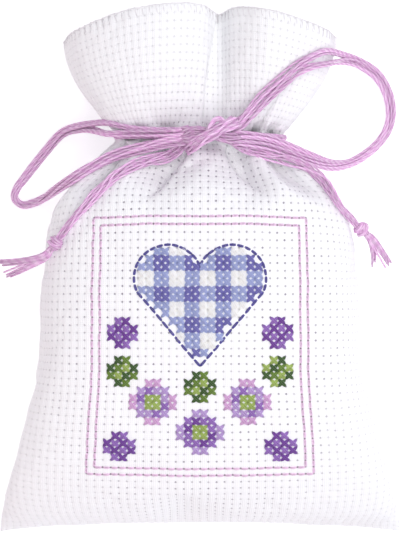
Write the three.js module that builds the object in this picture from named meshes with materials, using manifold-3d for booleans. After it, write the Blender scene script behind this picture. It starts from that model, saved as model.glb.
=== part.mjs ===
// Lavender sachet lying on its back: a filled bag of counted cloth with an embroidered front, its
// neck gathered into a frill and tied with a bow of stranded cotton. Millimetres, Z up, Y to the frill.
import * as THREE from 'three';
import { mergeVertices } from 'three/addons/utils/BufferGeometryUtils.js';
import Module from 'manifold-3d';

const wasm = await Module();
wasm.setup();

// Bag, as it lies filled and tied
const BASE_HALF_WIDTH = 37;
const BELLY_HALF_WIDTH = 29.2;
const SHOULDER_HALF_WIDTH = 27.6;
const NECK_HALF_WIDTH = 15.4;
const FRILL_HALF_WIDTH = 25.8;
const BODY_LENGTH = 74.6;
const SHOULDER_LENGTH = 15;
const FRILL_LENGTH = 24.2;
const FRILL_CORNER_DROP = 6.4;
const BOTTOM_DRAW_IN = 1.6;

// Heights above the surface it lies on
const BELLY_HEIGHT = 29;
const SIDE_SEAM_HEIGHT = 13.5;
const CORNER_HEIGHT = 5;
const BOTTOM_SEAM_HEIGHT = 8;
const NECK_HEIGHT = 12.5;
const NECK_THICKNESS = 11;
const FRILL_CREST_HEIGHT = 21;
const FRILL_CORNER_HEIGHT = 5;
const FRONT_FULLNESS = 0.78;
const BACK_FULLNESS = 0.5;

// Folds
const NECK_PLEATS = 5;
const NECK_PLEAT_DEPTH = 1.6;
const FRILL_LOBE_DEPTH = 6;

// Cloth, thread and the gap left between neighbours
const CLOTH = 0.7;
const CLEARANCE = 0.3;
const FILLING_GAP = 0.9;
const SEAM_THREAD_DIAMETER = 0.5;
const HEM_DIAMETER = 1;

// Cord of the bow
const LOOP_CORD_DIAMETER = 2.2;
const TAIL_CORD_DIAMETER = 1.4;
const TIE_CORD_DIAMETER = 1.8;
const TIE_OPENING = 0.03;
const KNOT_OFFSET = 2;
const KNOT_HALF_LENGTH = 3.6;
const KNOT_RADIUS = 2.5;
const KNOT_TURN_DIAMETER = 1.8;
const KNOT_TURN_RISE = 0.5;
const KNOT_TURN_SLANT = 0.45;
const END_KNOT_CORD_DIAMETER = 0.7;
const END_KNOT_TURNS = 1.75;
const TASSEL_STRANDS = 5;
const TASSEL_STRAND_DIAMETER = 0.7;
const TASSEL_LENGTH = 12;
const TASSEL_SPREAD = 2.2;

// Embroidery: one cross stitch to each square of the cloth
const SQUARE = 25.4 / 18;
const STITCH_RISE = 0.5;
const BORDER_LINE_WIDTH = 0.5;
const MOTIF_CENTRE = 42.5;
const BORDER_HALF_COLUMNS = 14;
const BORDER_HALF_ROWS = 17;
const HEART_LOBE_RADIUS = 4.1;
const HEART_LOBE_ROW = 9;
const HEART_TIP_ROW = -2;
const BLOSSOM_REACH = 2.6;
const BUD_REACH = 2;
const LEAF_REACH = 2.2;

const FRONT = 1;
const BACK = -1;
const mix = THREE.MathUtils.lerp;
const smooth = THREE.MathUtils.smoothstep;

const material = (color, roughness) =>
  new THREE.MeshStandardMaterial({ color, roughness, metalness: 0, side: THREE.DoubleSide });
const cloth = material(0xf4f2f0, 0.9);
const whiteThread = material(0xf0eeee, 0.7);
const lavender = material(0x7a6f86, 0.95);
const orchid = material(0xcd96cd, 0.6);
const mauve = material(0xd9a3cf, 0.6);
const blue = material(0x8f95cf, 0.6);
const violet = material(0x8c5fb4, 0.6);
const lilac = material(0xbfa0d8, 0.6);
const green = material(0x6f8c3c, 0.6);

const sachet = new THREE.Group();
sachet.name = 'lavender_sachet';
const cords = new THREE.Group();

function add(name, geometry, surface, group = sachet) {
  const mesh = new THREE.Mesh(geometry, surface);
  mesh.name = name;
  group.add(mesh);
}

// The cloth is lofted through matching rows from the bottom seam to the top edge. Each row has a side
// seam point, a front point and a back point on the centre line; the rows are numbered from 0.
const SHOULDER = BODY_LENGTH - SHOULDER_LENGTH;
const NECK_ROW = 7;
const EDGE_ROW = 10;
const neckFront = NECK_HEIGHT + NECK_THICKNESS / 2;
const neckBack = NECK_HEIGHT - NECK_THICKNESS / 2;
const frillTop = BODY_LENGTH + FRILL_LENGTH;

const seamRows = [
  [BASE_HALF_WIDTH, 0, CORNER_HEIGHT],
  [mix(BASE_HALF_WIDTH, BELLY_HALF_WIDTH, 0.14), 0.08 * BODY_LENGTH, mix(CORNER_HEIGHT, SIDE_SEAM_HEIGHT, 0.35)],
  [mix(BASE_HALF_WIDTH, BELLY_HALF_WIDTH, 0.5), 0.21 * BODY_LENGTH, mix(CORNER_HEIGHT, SIDE_SEAM_HEIGHT, 0.75)],
  [mix(BASE_HALF_WIDTH, BELLY_HALF_WIDTH, 0.85), 0.42 * BODY_LENGTH, SIDE_SEAM_HEIGHT],
  [BELLY_HALF_WIDTH, 0.64 * BODY_LENGTH, SIDE_SEAM_HEIGHT],
  [SHOULDER_HALF_WIDTH, SHOULDER, SIDE_SEAM_HEIGHT],
  [mix(SHOULDER_HALF_WIDTH, NECK_HALF_WIDTH, 0.6), mix(SHOULDER, BODY_LENGTH, 0.6), mix(SIDE_SEAM_HEIGHT, NECK_HEIGHT, 0.5)],
  [NECK_HALF_WIDTH, BODY_LENGTH, NECK_HEIGHT],
  [mix(NECK_HALF_WIDTH, FRILL_HALF_WIDTH, 0.3), BODY_LENGTH + 0.2 * FRILL_LENGTH, mix(NECK_HEIGHT, FRILL_CORNER_HEIGHT, 0.12)],
  [mix(NECK_HALF_WIDTH, FRILL_HALF_WIDTH, 0.68), mix(BODY_LENGTH, frillTop - FRILL_CORNER_DROP, 0.6), mix(NECK_HEIGHT, FRILL_CORNER_HEIGHT, 0.5)],
  [FRILL_HALF_WIDTH, frillTop - FRILL_CORNER_DROP, FRILL_CORNER_HEIGHT],
];
const frontRows = [
  [0, BOTTOM_DRAW_IN, BOTTOM_SEAM_HEIGHT],
  [0, 0.06 * BODY_LENGTH, mix(BOTTOM_SEAM_HEIGHT, BELLY_HEIGHT, 0.36)],
  [0, 0.19 * BODY_LENGTH, mix(BOTTOM_SEAM_HEIGHT, BELLY_HEIGHT, 0.74)],
  [0, 0.42 * BODY_LENGTH, mix(BOTTOM_SEAM_HEIGHT, BELLY_HEIGHT, 0.96)],
  [0, 0.64 * BODY_LENGTH, BELLY_HEIGHT],
  [0, SHOULDER + 2, mix(neckFront, BELLY_HEIGHT, 0.8)],
  [0, mix(SHOULDER, BODY_LENGTH, 0.65), mix(neckFront, BELLY_HEIGHT, 0.3)],
  [0, BODY_LENGTH, neckFront],
  [0, BODY_LENGTH + 0.2 * FRILL_LENGTH, mix(neckFront, FRILL_CREST_HEIGHT, 0.1)],
  [0, BODY_LENGTH + 0.6 * FRILL_LENGTH, mix(neckFront, FRILL_CREST_HEIGHT, 0.55)],
  [0, frillTop, FRILL_CREST_HEIGHT],
];
const SAG = 2;
const backRows = [
  [0, BOTTOM_DRAW_IN, BOTTOM_SEAM_HEIGHT],
  [0, 0.08 * BODY_LENGTH, 1.6],
  [0, 0.2 * BODY_LENGTH, -SAG],
  [0, 0.42 * BODY_LENGTH, -SAG],
  [0, 0.64 * BODY_LENGTH, -SAG],
  [0, SHOULDER + 2, 0.2],
  [0, mix(SHOULDER, BODY_LENGTH, 0.65), mix(0, neckBack, 0.55)],
  [0, BODY_LENGTH, neckBack],
  [0, BODY_LENGTH + 0.2 * FRILL_LENGTH, mix(neckBack, 1.2, 0.12)],
  [0, BODY_LENGTH + 0.6 * FRILL_LENGTH, mix(neckBack, 1.2, 0.6)],
  [0, frillTop - 1.5, 1.2],
];
const rowCurve = (rows) => new THREE.CatmullRomCurve3(rows.map((row) => new THREE.Vector3(...row)));
const seamCurve = rowCurve(seamRows);
const spineCurve = { [FRONT]: rowCurve(frontRows), [BACK]: rowCurve(backRows) };

// Half a cross-section of the bag, from the left seam to the right, with its points evenly spaced
// along the cloth: the row is a whole or part row number, and share runs from -1 to 1.
const SECTION_STEPS = 72;

function section(side, row) {
  const seam = seamCurve.getPoint(row / EDGE_ROW);
  const spine = spineCurve[side].getPoint(row / EDGE_ROW);
  const full = side === FRONT ? FRONT_FULLNESS : BACK_FULLNESS;
  const pinch = mix(1.15, full, smooth(row, 0, 1.6));
  const fullness = mix(pinch, 1, smooth(row, NECK_ROW, EDGE_ROW));
  const points = [];
  for (let step = 0; step <= SECTION_STEPS; step += 1) {
    const angle = Math.PI * (1 - step / SECTION_STEPS);
    const rise = Math.sin(angle) ** fullness;
    const point = new THREE.Vector3(seam.x * Math.cos(angle), mix(seam.y, spine.y, rise), mix(seam.z, spine.z, rise));
    points.push(point);
  }
  points[0].set(-seam.x, seam.y, seam.z);
  points[SECTION_STEPS].copy(seam);
  const reach = [0];
  points.forEach((point, k) => k && reach.push(reach[k - 1] + point.distanceTo(points[k - 1])));
  return { points, reach, length: reach[SECTION_STEPS] };
}

// Folds drawn up by the tie: fine pleats at the neck that run out below it, and two lobes in the frill.
function fold(row, share) {
  const edge = 1 - share ** 4;
  const pleat = 0.5 - 0.5 * Math.cos(2 * Math.PI * NECK_PLEATS * share);
  const gathered = smooth(row, NECK_ROW - 2.2, NECK_ROW) * (1 - 0.6 * smooth(row, NECK_ROW, EDGE_ROW));
  const lobe = 0.5 - 0.5 * Math.cos(2 * Math.PI * share);
  return edge * (gathered * NECK_PLEAT_DEPTH * (pleat - 1)
    + smooth(row, NECK_ROW, EDGE_ROW) * FRILL_LOBE_DEPTH * (lobe - 0.5));
}

// A point of the inner face of the cloth.
function clothPoint(side, row, share) {
  const { points, reach, length } = section(side, row);
  const along = (0.5 + share / 2) * length;
  let k = reach.findIndex((value) => value >= along);
  k = Math.max(1, k < 0 ? SECTION_STEPS : k);
  const point = points[k - 1].clone().lerp(points[k], (along - reach[k - 1]) / (reach[k] - reach[k - 1]));
  point.z += side * (CLEARANCE / 2 + fold(row, share) * (side === FRONT ? 1 : 0.35));
  if (side === BACK) point.z = Math.max(point.z, CLOTH);
  return point;
}

function clothNormal(side, row, share) {
  const d = 0.02;
  const across = clothPoint(side, row, Math.min(1, share + d)).sub(clothPoint(side, row, Math.max(-1, share - d)));
  const along = clothPoint(side, Math.min(EDGE_ROW, row + d), share).sub(clothPoint(side, Math.max(0, row - d), share));
  const normal = across.cross(along).multiplyScalar(side);
  if (normal.lengthSq() < 1e-12) normal.set(0, 0, side);
  return normal.normalize();
}

const clothOffset = (side, row, share, out) =>
  clothPoint(side, row, share).addScaledVector(clothNormal(side, row, share), out);

function geometryOf(vertices, triangles) {
  const geometry = new THREE.BufferGeometry();
  geometry.setAttribute('position', new THREE.Float32BufferAttribute(vertices.flatMap((v) => v.toArray()), 3));
  geometry.setIndex(triangles.flat());
  geometry.computeVertexNormals();
  return geometry;
}

// Closes two matching grids of points into one thin solid; outer is the face that looks out.
function shellBetween(outer, inner, flip) {
  const rows = outer.length;
  const columns = outer[0].length;
  const vertices = [...outer.flat(), ...inner.flat()];
  const at = (row, column) => row * columns + column;
  const under = (row, column) => rows * columns + at(row, column);
  const triangles = [];
  const quad = (a, b, c, d) => {
    triangles.push(flip ? [a, c, b] : [a, b, c], flip ? [a, d, c] : [a, c, d]);
  };
  for (let r = 0; r + 1 < rows; r += 1) {
    for (let c = 0; c + 1 < columns; c += 1) {
      const left = 2 * c + 1 < columns;
      const ring = [[r, c], [r, c + 1], [r + 1, c + 1], [r + 1, c]];
      if (left) ring.push(ring.shift());
      quad(...ring.map(([m, n]) => at(m, n)));
      quad(...ring.map(([m, n]) => under(m, n)).reverse());
    }
    quad(under(r, 0), at(r, 0), at(r + 1, 0), under(r + 1, 0));
    quad(at(r, columns - 1), under(r, columns - 1), under(r + 1, columns - 1), at(r + 1, columns - 1));
  }
  for (let c = 0; c + 1 < columns; c += 1) {
    quad(at(0, c), under(0, c), under(0, c + 1), at(0, c + 1));
    quad(at(rows - 1, c), at(rows - 1, c + 1), under(rows - 1, c + 1), under(rows - 1, c));
  }
  return geometryOf(vertices, triangles);
}

const ROW_CROWDING = 1.15;
const range = (from, to, steps) => Array.from({ length: steps + 1 }, (_, k) => mix(from, to, k / steps));

function panel(side, rows, columns) {
  const grid = (out) => range(0, 1, rows).map((step) => EDGE_ROW * step ** ROW_CROWDING).map((row) =>
    range(-1, 1, columns).map((share) => clothOffset(side, row, share, out)));
  return shellBetween(grid(CLOTH), grid(0), side === BACK);
}
add('front_panel', panel(FRONT, 24, 28), cloth);
add('back_panel', panel(BACK, 20, 20), cloth);

// Dried lavender: one loose mass that fills the body up to the gathers.
function filling() {
  const rows = range(0.9, NECK_ROW - 1.1, 13);
  const shares = range(-0.8, 0.8, 14);
  const rings = rows.map((row) => [
    ...shares.map((share) => clothOffset(FRONT, row, share, -FILLING_GAP)),
    ...shares.map((share) => clothOffset(BACK, row, -share, -FILLING_GAP)),
  ]);
  const count = rings[0].length;
  const vertices = rings.flat();
  const triangles = [];
  for (let r = 0; r + 1 < rings.length; r += 1) {
    for (let k = 0; k < count; k += 1) {
      const next = (k + 1) % count;
      const [a, b, c, d] = [r * count + k, r * count + next, (r + 1) * count + next, (r + 1) * count + k];
      triangles.push([a, b, c], [a, c, d]);
    }
  }
  [0, rings.length - 1].forEach((r) => {
    const middle = rings[r].reduce((sum, p) => sum.add(p), new THREE.Vector3()).divideScalar(count);
    vertices.push(middle);
    for (let k = 0; k < count; k += 1) {
      const pair = [r * count + k, r * count + ((k + 1) % count)];
      triangles.push([vertices.length - 1, ...(r ? pair : pair.reverse())]);
    }
  });
  return geometryOf(vertices, triangles);
}
add('lavender_filling', filling(), lavender);

// A round tube swept along a route of points.
function tube(points, diameter, steps, sides = 8) {
  const path = new THREE.CatmullRomCurve3(points);
  const ring = range(0, 2 * Math.PI, sides).slice(0, sides);
  const profile = new THREE.Shape(ring.map((angle) =>
    new THREE.Vector2(Math.cos(angle), Math.sin(angle)).multiplyScalar(diameter / 2)));
  return new THREE.ExtrudeGeometry(profile, { steps, bevelEnabled: false, extrudePath: path });
}

// Overcast thread along the raw top edge of each panel.
function hem(side) {
  const route = range(-0.97, 0.97, 22).map((share) => {
    const top = clothOffset(side, EDGE_ROW, share, CLOTH / 2);
    const below = clothOffset(side, EDGE_ROW - 0.1, share, CLOTH / 2);
    return top.addScaledVector(top.clone().sub(below).normalize(), HEM_DIAMETER / 2 + CLEARANCE);
  });
  return tube(route, HEM_DIAMETER, 28, 6);
}
add('front_edge_overcast', hem(FRONT), whiteThread);
add('back_edge_overcast', hem(BACK), whiteThread);

// Seam threads run just inside the line where the panels meet.
const inset = SEAM_THREAD_DIAMETER / 2 + 2 * CLEARANCE;

function sideSeam(sign) {
  const route = range(1.2, NECK_ROW - 0.8, 14).map((row) => {
    const seam = seamCurve.getPoint(row / EDGE_ROW);
    const outward = clothNormal(FRONT, row, 1).add(clothNormal(BACK, row, 1)).normalize();
    return seam.addScaledVector(outward, -inset).multiply(new THREE.Vector3(sign, 1, 1));
  });
  return tube(route, SEAM_THREAD_DIAMETER, 18, 6);
}

function bottomSeam() {
  const route = range(-0.6, 0.6, 12).map((share) => {
    const seam = clothPoint(FRONT, 0, share).lerp(clothPoint(BACK, 0, share), 0.5);
    return seam.add(new THREE.Vector3(0, 1.4 * inset, 0));
  });
  return tube(route, SEAM_THREAD_DIAMETER, 14, 6);
}
add('left_seam_thread', sideSeam(-1), whiteThread);
add('right_seam_thread', sideSeam(1), whiteThread);
add('bottom_seam_thread', bottomSeam(), whiteThread);

// The tie goes once round the gathered neck; its two ends meet under the knot.
function tie() {
  const gap = CLOTH + 3 * CLEARANCE + TIE_CORD_DIAMETER / 2;
  const route = range(0.5 * Math.PI + TIE_OPENING, 2.5 * Math.PI - TIE_OPENING, 30).map((angle) => {
    const rise = Math.sin(angle);
    const drop = Math.sign(rise) * Math.abs(rise) ** (rise > 0 ? FRONT_FULLNESS : BACK_FULLNESS);
    return new THREE.Vector3(
      (NECK_HALF_WIDTH + gap) * Math.cos(angle),
      BODY_LENGTH,
      NECK_HEIGHT + (NECK_THICKNESS / 2 + gap) * drop,
    );
  });
  return tube(route, TIE_CORD_DIAMETER, 26);
}
add('neck_tie', tie(), orchid);

// The knot: a barrel that the loops and tails end on, bound by one slanting turn of the cord.
const solidOf = (geometry) => {
  const bare = geometry.clone().deleteAttribute('normal').deleteAttribute('uv');
  const welded = mergeVertices(bare, 1e-4);
  return new wasm.Manifold(new wasm.Mesh({
    numProp: 3,
    vertProperties: new Float32Array(welded.attributes.position.array),
    triVerts: new Uint32Array(welded.index.array),
  }));
};
const geometryFrom = (solid) => {
  const mesh = solid.getMesh();
  const geometry = new THREE.BufferGeometry();
  geometry.setAttribute('position', new THREE.BufferAttribute(new Float32Array(mesh.vertProperties), 3));
  geometry.setIndex(new THREE.BufferAttribute(new Uint32Array(mesh.triVerts), 1));
  geometry.computeVertexNormals();
  return geometry;
};

const knotReach = KNOT_RADIUS + KNOT_TURN_RISE;
const tieTop = neckFront + CLOTH + 3 * CLEARANCE + TIE_CORD_DIAMETER;
const knot = new THREE.Vector3(KNOT_OFFSET, BODY_LENGTH + 0.4, tieTop + CLEARANCE + knotReach);

function bowKnot() {
  const outline = [[0, -1], [0.92, -1], [1, -0.5], [1, 0.5], [0.92, 1], [0, 1]];
  const barrel = new THREE.LatheGeometry(
    outline.map(([r, l]) => new THREE.Vector2(r * KNOT_RADIUS, l * KNOT_HALF_LENGTH)), 14);
  barrel.rotateZ(-Math.PI / 2);
  const turnRadius = KNOT_TURN_DIAMETER / 2;
  const turn = new THREE.TorusGeometry(knotReach - turnRadius, turnRadius, 8, 18);
  turn.rotateY(Math.PI / 2).rotateZ(KNOT_TURN_SLANT);
  return geometryFrom(solidOf(barrel).add(solidOf(turn))).translate(...knot.toArray());
}
add('bow_knot', bowKnot(), orchid);

// Routes of the loops and tails, counted from the middle of the knot: over the cloth, then down to lie on
// the surface or to hang at the side of the bag.
const LEFT_LOOP = [
  [-4.1, 1.2, 0.3], [-5.2, 1.2, 0.1], [-8.8, 1.2, -1.5], [-13.2, 1.4, -2.9],
  [-17.9, 1.7, -5.8], [-21.6, 1.8, -9.9], [-24.8, 1.5, -14.4], [-28.2, 0.1, -18.4],
  [-31, -2.7, -21], [-33.4, -5.5, -22.4], [-35.6, -8.5, -22.9], [-37, -10.7, -23],
  [-36.6, -12.2, -23], [-34.9, -12.6, -22.5], [-33, -12.2, -20.8], [-31.2, -11.5, -17],
  [-29.7, -10.9, -11.4], [-26.6, -9.1, -5.2], [-22.4, -6.4, -3.4], [-18.5, -4.3, -3.2],
  [-14.2, -3, -3.4], [-8.8, -1.8, -1.6], [-5.2, -1.3, 0.1], [-4.1, -1.2, 0.3],
];
const RIGHT_LOOP = [
  [4.1, 1.2, 0.3], [5.2, 1.5, 0.2], [7, 3.3, -1.2], [10.2, 6.7, -3.2],
  [13.9, 10, -4.2], [16.7, 12.3, -5.6], [20.4, 14, -8.8], [24.2, 14.5, -14.4],
  [27.9, 13.6, -19.2], [31.7, 11.2, -22], [33.7, 7.8, -22.9], [34.3, 4.2, -23],
  [33.7, 1, -23], [32, -1.8, -22.6], [29.4, -4, -21], [26.1, -5.5, -17.2],
  [22.3, -5.8, -11.4], [18.6, -4.8, -7.2], [14.8, -3.3, -5.2], [11.1, -2, -3.5],
  [7.5, -1.4, -1.6], [5.2, -1.2, 0.1], [4.1, -1.2, 0.3],
];
const LEFT_TAIL = [
  [-4.1, -1.5, -1.8], [-4.8, -2, -1.9], [-5.9, -3.2, -2.1], [-7.8, -4.3, -2],
  [-12.8, -5.7, -1.8], [-17, -7.6, -1.2], [-19.8, -9.8, -0.2], [-22.6, -12.7, 0.6],
  [-25.4, -15.9, 0.9], [-27.2, -18.3, 0.9], [-28.6, -20.1, 0.9], [-30, -21.9, 0.8],
];
const RIGHT_TAIL = [
  [4.1, -1.5, -1.8], [5, -2.4, -2.1], [6.6, -3.6, -2.5], [9.2, -4.3, -2.9],
  [14.8, -5.9, -3.4], [18.2, -7.3, -4.1], [20.6, -8.9, -4], [22.4, -11.3, -3.1],
  [24.3, -14, -2.6], [26.3, -16, -3.4], [27.8, -17.5, -4.2], [29.3, -19, -5.2],
];
const fromKnot = (route) => route.map((point) => new THREE.Vector3(...point).add(knot));
add('left_loop', tube(fromKnot(LEFT_LOOP), LOOP_CORD_DIAMETER, 20), orchid, cords);
add('right_loop', tube(fromKnot(RIGHT_LOOP), LOOP_CORD_DIAMETER, 20), orchid, cords);
add('left_tail', tube(fromKnot(LEFT_TAIL), TAIL_CORD_DIAMETER, 11), orchid, cords);
add('right_tail', tube(fromKnot(RIGHT_TAIL), TAIL_CORD_DIAMETER, 11), orchid, cords);

// An overhand knot seen from outside: turns of the cord drawn tight round the last stretch of the tail.
function endKnot(route) {
  const [before, centre, after] = fromKnot(route).slice(-3);
  const axis = after.clone().sub(before).normalize();
  const across = new THREE.Vector3(0, 0, 1).cross(axis).normalize();
  const up = axis.clone().cross(across);
  const radius = (TAIL_CORD_DIAMETER + END_KNOT_CORD_DIAMETER) / 2 + CLEARANCE;
  const pitch = END_KNOT_CORD_DIAMETER + CLEARANCE;
  const turns = range(-END_KNOT_TURNS / 2, END_KNOT_TURNS / 2, 20).map((turn) =>
    centre.clone().addScaledVector(axis, turn * pitch)
      .addScaledVector(across, radius * Math.cos(2 * Math.PI * turn))
      .addScaledVector(up, radius * Math.sin(2 * Math.PI * turn)));
  return tube(turns, END_KNOT_CORD_DIAMETER, 22, 6);
}
add('left_end_knot', endKnot(LEFT_TAIL), orchid, cords);
add('right_end_knot', endKnot(RIGHT_TAIL), orchid, cords);

// A frayed end: strands that leave the end of the tail together, droop and spread apart.
function tassel(route, droop) {
  const [before, end] = fromKnot(route).slice(-2);
  const axis = end.clone().sub(before).normalize();
  const root = end.addScaledVector(axis, CLEARANCE);
  const across = new THREE.Vector3(0, 0, 1).cross(axis).normalize();
  const strands = range(-1, 1, TASSEL_STRANDS - 1).map((spread, k) => {
    const start = root.clone().addScaledVector(across, spread * 0.35);
    const middle = start.clone().addScaledVector(axis, 0.3 * TASSEL_LENGTH)
      .addScaledVector(across, spread * 0.6);
    const tip = new THREE.Vector3(...droop).multiplyScalar(TASSEL_LENGTH * (k % 2 ? 0.92 : 1)).add(middle)
      .addScaledVector(across, spread * TASSEL_SPREAD);
    const bend = middle.clone().lerp(tip, 0.45).addScaledVector(axis, 0.08 * TASSEL_LENGTH);
    return solidOf(tube([start, middle, bend, tip], TASSEL_STRAND_DIAMETER, 4, 5));
  });
  return geometryFrom(wasm.Manifold.union(strands));
}
add('left_tassel', tassel(LEFT_TAIL, [-0.35, -0.15, -0.6]), orchid, cords);
add('right_tassel', tassel(RIGHT_TAIL, [0.05, -0.3, -0.6]), orchid, cords);

// Embroidery: stitches are counted in squares from the middle of the border.
const spineReach = [0];
const SPINE_STEPS = 200;
const spinePoint = (k) => clothPoint(FRONT, (EDGE_ROW * k) / SPINE_STEPS, 0);
for (let k = 1; k <= SPINE_STEPS; k += 1) {
  spineReach.push(spineReach[k - 1] + spinePoint(k).distanceTo(spinePoint(k - 1)));
}

function squareCorner(column, line, out) {
  const along = MOTIF_CENTRE + line * SQUARE;
  const k = spineReach.findIndex((value) => value >= along);
  const step = k - 1 + (along - spineReach[k - 1]) / (spineReach[k] - spineReach[k - 1]);
  const row = (EDGE_ROW * step) / SPINE_STEPS;
  const share = (2 * column * SQUARE) / section(FRONT, row).length;
  return clothOffset(FRONT, row, share, CLOTH + CLEARANCE + out);
}

// A patch of cross stitch over a set of squares, given as a test of each square.
function patch(worked, half) {
  const vertices = [];
  const triangles = [];
  const known = new Map();
  const corner = (i, j, out) => {
    const key = `${i},${j},${out}`;
    if (!known.has(key)) known.set(key, vertices.push(squareCorner(i, j, out)) - 1);
    return known.get(key);
  };
  const quad = (a, b, c, d) => triangles.push([a, b, c], [a, c, d]);
  const wall = (i, j, k, l) =>
    quad(corner(i, j, 0), corner(k, l, 0), corner(k, l, STITCH_RISE), corner(i, j, STITCH_RISE));
  for (let i = -half; i < half; i += 1) {
    for (let j = -half; j < half; j += 1) {
      if (worked(i, j)) {
        quad(...[[i, j], [i + 1, j], [i + 1, j + 1], [i, j + 1]].map(([a, b]) => corner(a, b, STITCH_RISE)));
        quad(...[[i, j], [i, j + 1], [i + 1, j + 1], [i + 1, j]].map(([a, b]) => corner(a, b, 0)));
        if (!worked(i, j - 1)) wall(i, j, i + 1, j);
        if (!worked(i + 1, j)) wall(i + 1, j, i + 1, j + 1);
        if (!worked(i, j + 1)) wall(i + 1, j + 1, i, j + 1);
        if (!worked(i - 1, j)) wall(i, j + 1, i, j);
      }
    }
  }
  return geometryOf(vertices, triangles);
}

// One line of the border: back stitch round a rectangle, as a narrow strip closed on itself.
function borderLine(halfColumns, halfRows, stitch) {
  const corners = [[-1, -1], [1, -1], [1, 1], [-1, 1]].map(([a, b]) => [a * halfColumns, b * halfRows]);
  const route = corners.flatMap(([i, j], k) => {
    const [m, n] = corners[(k + 1) % 4];
    const stitches = Math.round(Math.hypot(m - i, n - j) / stitch);
    return range(0, 1, stitches).slice(0, stitches).map((t) => [mix(i, m, t), mix(j, n, t)]);
  });
  const margin = BORDER_LINE_WIDTH / 2 / SQUARE;
  const wider = (grow) => ([i, j]) => [i * (1 + (grow * margin) / halfColumns), j * (1 + (grow * margin) / halfRows)];
  const ring = (grow, out) => route.map(wider(grow)).map(([i, j]) => squareCorner(i, j, out));
  const rings = [ring(1, STITCH_RISE), ring(-1, STITCH_RISE), ring(-1, 0), ring(1, 0)];
  const count = route.length;
  const triangles = [];
  for (let r = 0; r < 4; r += 1) {
    for (let k = 0; k < count; k += 1) {
      const next = (k + 1) % count;
      const [a, b, c, d] = [[r, k], [r, next], [(r + 1) % 4, next], [(r + 1) % 4, k]].map(([m, n]) => m * count + n);
      triangles.push([a, b, c], [a, c, d]);
    }
  }
  return geometryOf(rings.flat(), triangles);
}
add('border_outer_line', borderLine(BORDER_HALF_COLUMNS, BORDER_HALF_ROWS, 2), mauve);
add('border_inner_line', borderLine(BORDER_HALF_COLUMNS - 1, BORDER_HALF_ROWS - 1, 2), mauve);

// Motifs inside the border: a heart over a garland of blossoms and leaves, each piece one worked patch.
const heart = (i, j) => {
  const x = Math.abs(i + 0.5);
  const y = j + 0.5;
  const inLobe = Math.hypot(x - HEART_LOBE_RADIUS, y - HEART_LOBE_ROW) < HEART_LOBE_RADIUS;
  const widest = 1.98 * HEART_LOBE_RADIUS;
  return inLobe || (y < HEART_LOBE_ROW && x < (widest * (y - HEART_TIP_ROW)) / (HEART_LOBE_ROW - HEART_TIP_ROW));
};
const blossom = (column, row, reach) => (i, j) => Math.hypot(i + 0.5 - column, j + 0.5 - row) < reach;
const leaf = (column, row) => (i, j) => Math.abs(i + 0.5 - column) + Math.abs(j + 0.5 - row) < LEAF_REACH;

add('heart_patch', patch(heart, BORDER_HALF_ROWS), blue);
add('middle_blossom', patch(blossom(0, -11, BLOSSOM_REACH), BORDER_HALF_ROWS), violet);
add('middle_leaf', patch(leaf(0, -5), BORDER_HALF_ROWS), green);
[['left', -1], ['right', 1]].forEach(([side, sign]) => {
  add(`${side}_blossom`, patch(blossom(6 * sign, -7, BLOSSOM_REACH), BORDER_HALF_ROWS), lilac);
  add(`${side}_upper_bud`, patch(blossom(10 * sign, 2, BUD_REACH), BORDER_HALF_ROWS), violet);
  add(`${side}_lower_bud`, patch(blossom(10 * sign, -13, BUD_REACH), BORDER_HALF_ROWS), violet);
  add(`${side}_leaf`, patch(leaf(10 * sign, -3), BORDER_HALF_ROWS), green);
});

// Everything but the free cords stands centred on the origin, with its back on the plane Z = 0.
const box = new THREE.Box3().setFromObject(sachet, true);
const shift = -(box.min.y + box.max.y) / 2;
sachet.add(...cords.children);
sachet.children.forEach((mesh) => mesh.geometry.translate(0, shift, 0));

export default sachet;
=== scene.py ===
"""Lavender sachet: a filled pouch of counted cloth, embroidered, gathered and tied with a bow."""

import logging
import math
from collections.abc import Callable
from dataclasses import dataclass, field
from enum import Enum

import bpy
import numpy as np
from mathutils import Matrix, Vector
from mathutils.bvhtree import BVHTree

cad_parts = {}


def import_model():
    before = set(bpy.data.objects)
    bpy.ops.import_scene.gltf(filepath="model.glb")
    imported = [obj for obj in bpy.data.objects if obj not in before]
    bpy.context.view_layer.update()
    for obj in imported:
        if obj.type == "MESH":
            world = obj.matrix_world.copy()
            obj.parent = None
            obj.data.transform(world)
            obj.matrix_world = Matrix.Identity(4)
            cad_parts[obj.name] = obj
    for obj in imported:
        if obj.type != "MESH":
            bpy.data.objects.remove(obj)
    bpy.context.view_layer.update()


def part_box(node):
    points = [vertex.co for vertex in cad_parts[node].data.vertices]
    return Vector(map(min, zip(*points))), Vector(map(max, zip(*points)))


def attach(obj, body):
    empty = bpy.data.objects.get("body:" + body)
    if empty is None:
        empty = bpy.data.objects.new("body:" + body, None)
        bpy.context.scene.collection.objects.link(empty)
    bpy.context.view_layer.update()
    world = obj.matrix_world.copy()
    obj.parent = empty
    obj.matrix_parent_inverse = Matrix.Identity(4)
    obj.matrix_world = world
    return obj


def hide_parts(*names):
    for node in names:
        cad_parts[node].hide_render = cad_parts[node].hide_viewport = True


LOG = logging.getLogger("sachet")
MM = 0.001
SQUARE = 25.4 / 18
FULL_TURN = 2 * math.pi
UP = np.array([0.0, 0.0, 1.0])
RGB = tuple[float, float, float]
Shares = tuple[tuple[float, float, float], ...]
Route = tuple[tuple[float, float, float], ...]


def srgb(red: int, green: int, blue: int) -> RGB:
    """A screen colour, from 0 to 255, as linear light from 0 to 1."""
    return tuple(((c / 255 + 0.055) / 1.055) ** 2.4 for c in (red, green, blue))


def unit(vectors: np.ndarray) -> np.ndarray:
    """Vectors scaled to length one along their last axis."""
    return vectors / np.maximum(np.linalg.norm(vectors, axis=-1, keepdims=True), 1e-12)


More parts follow.
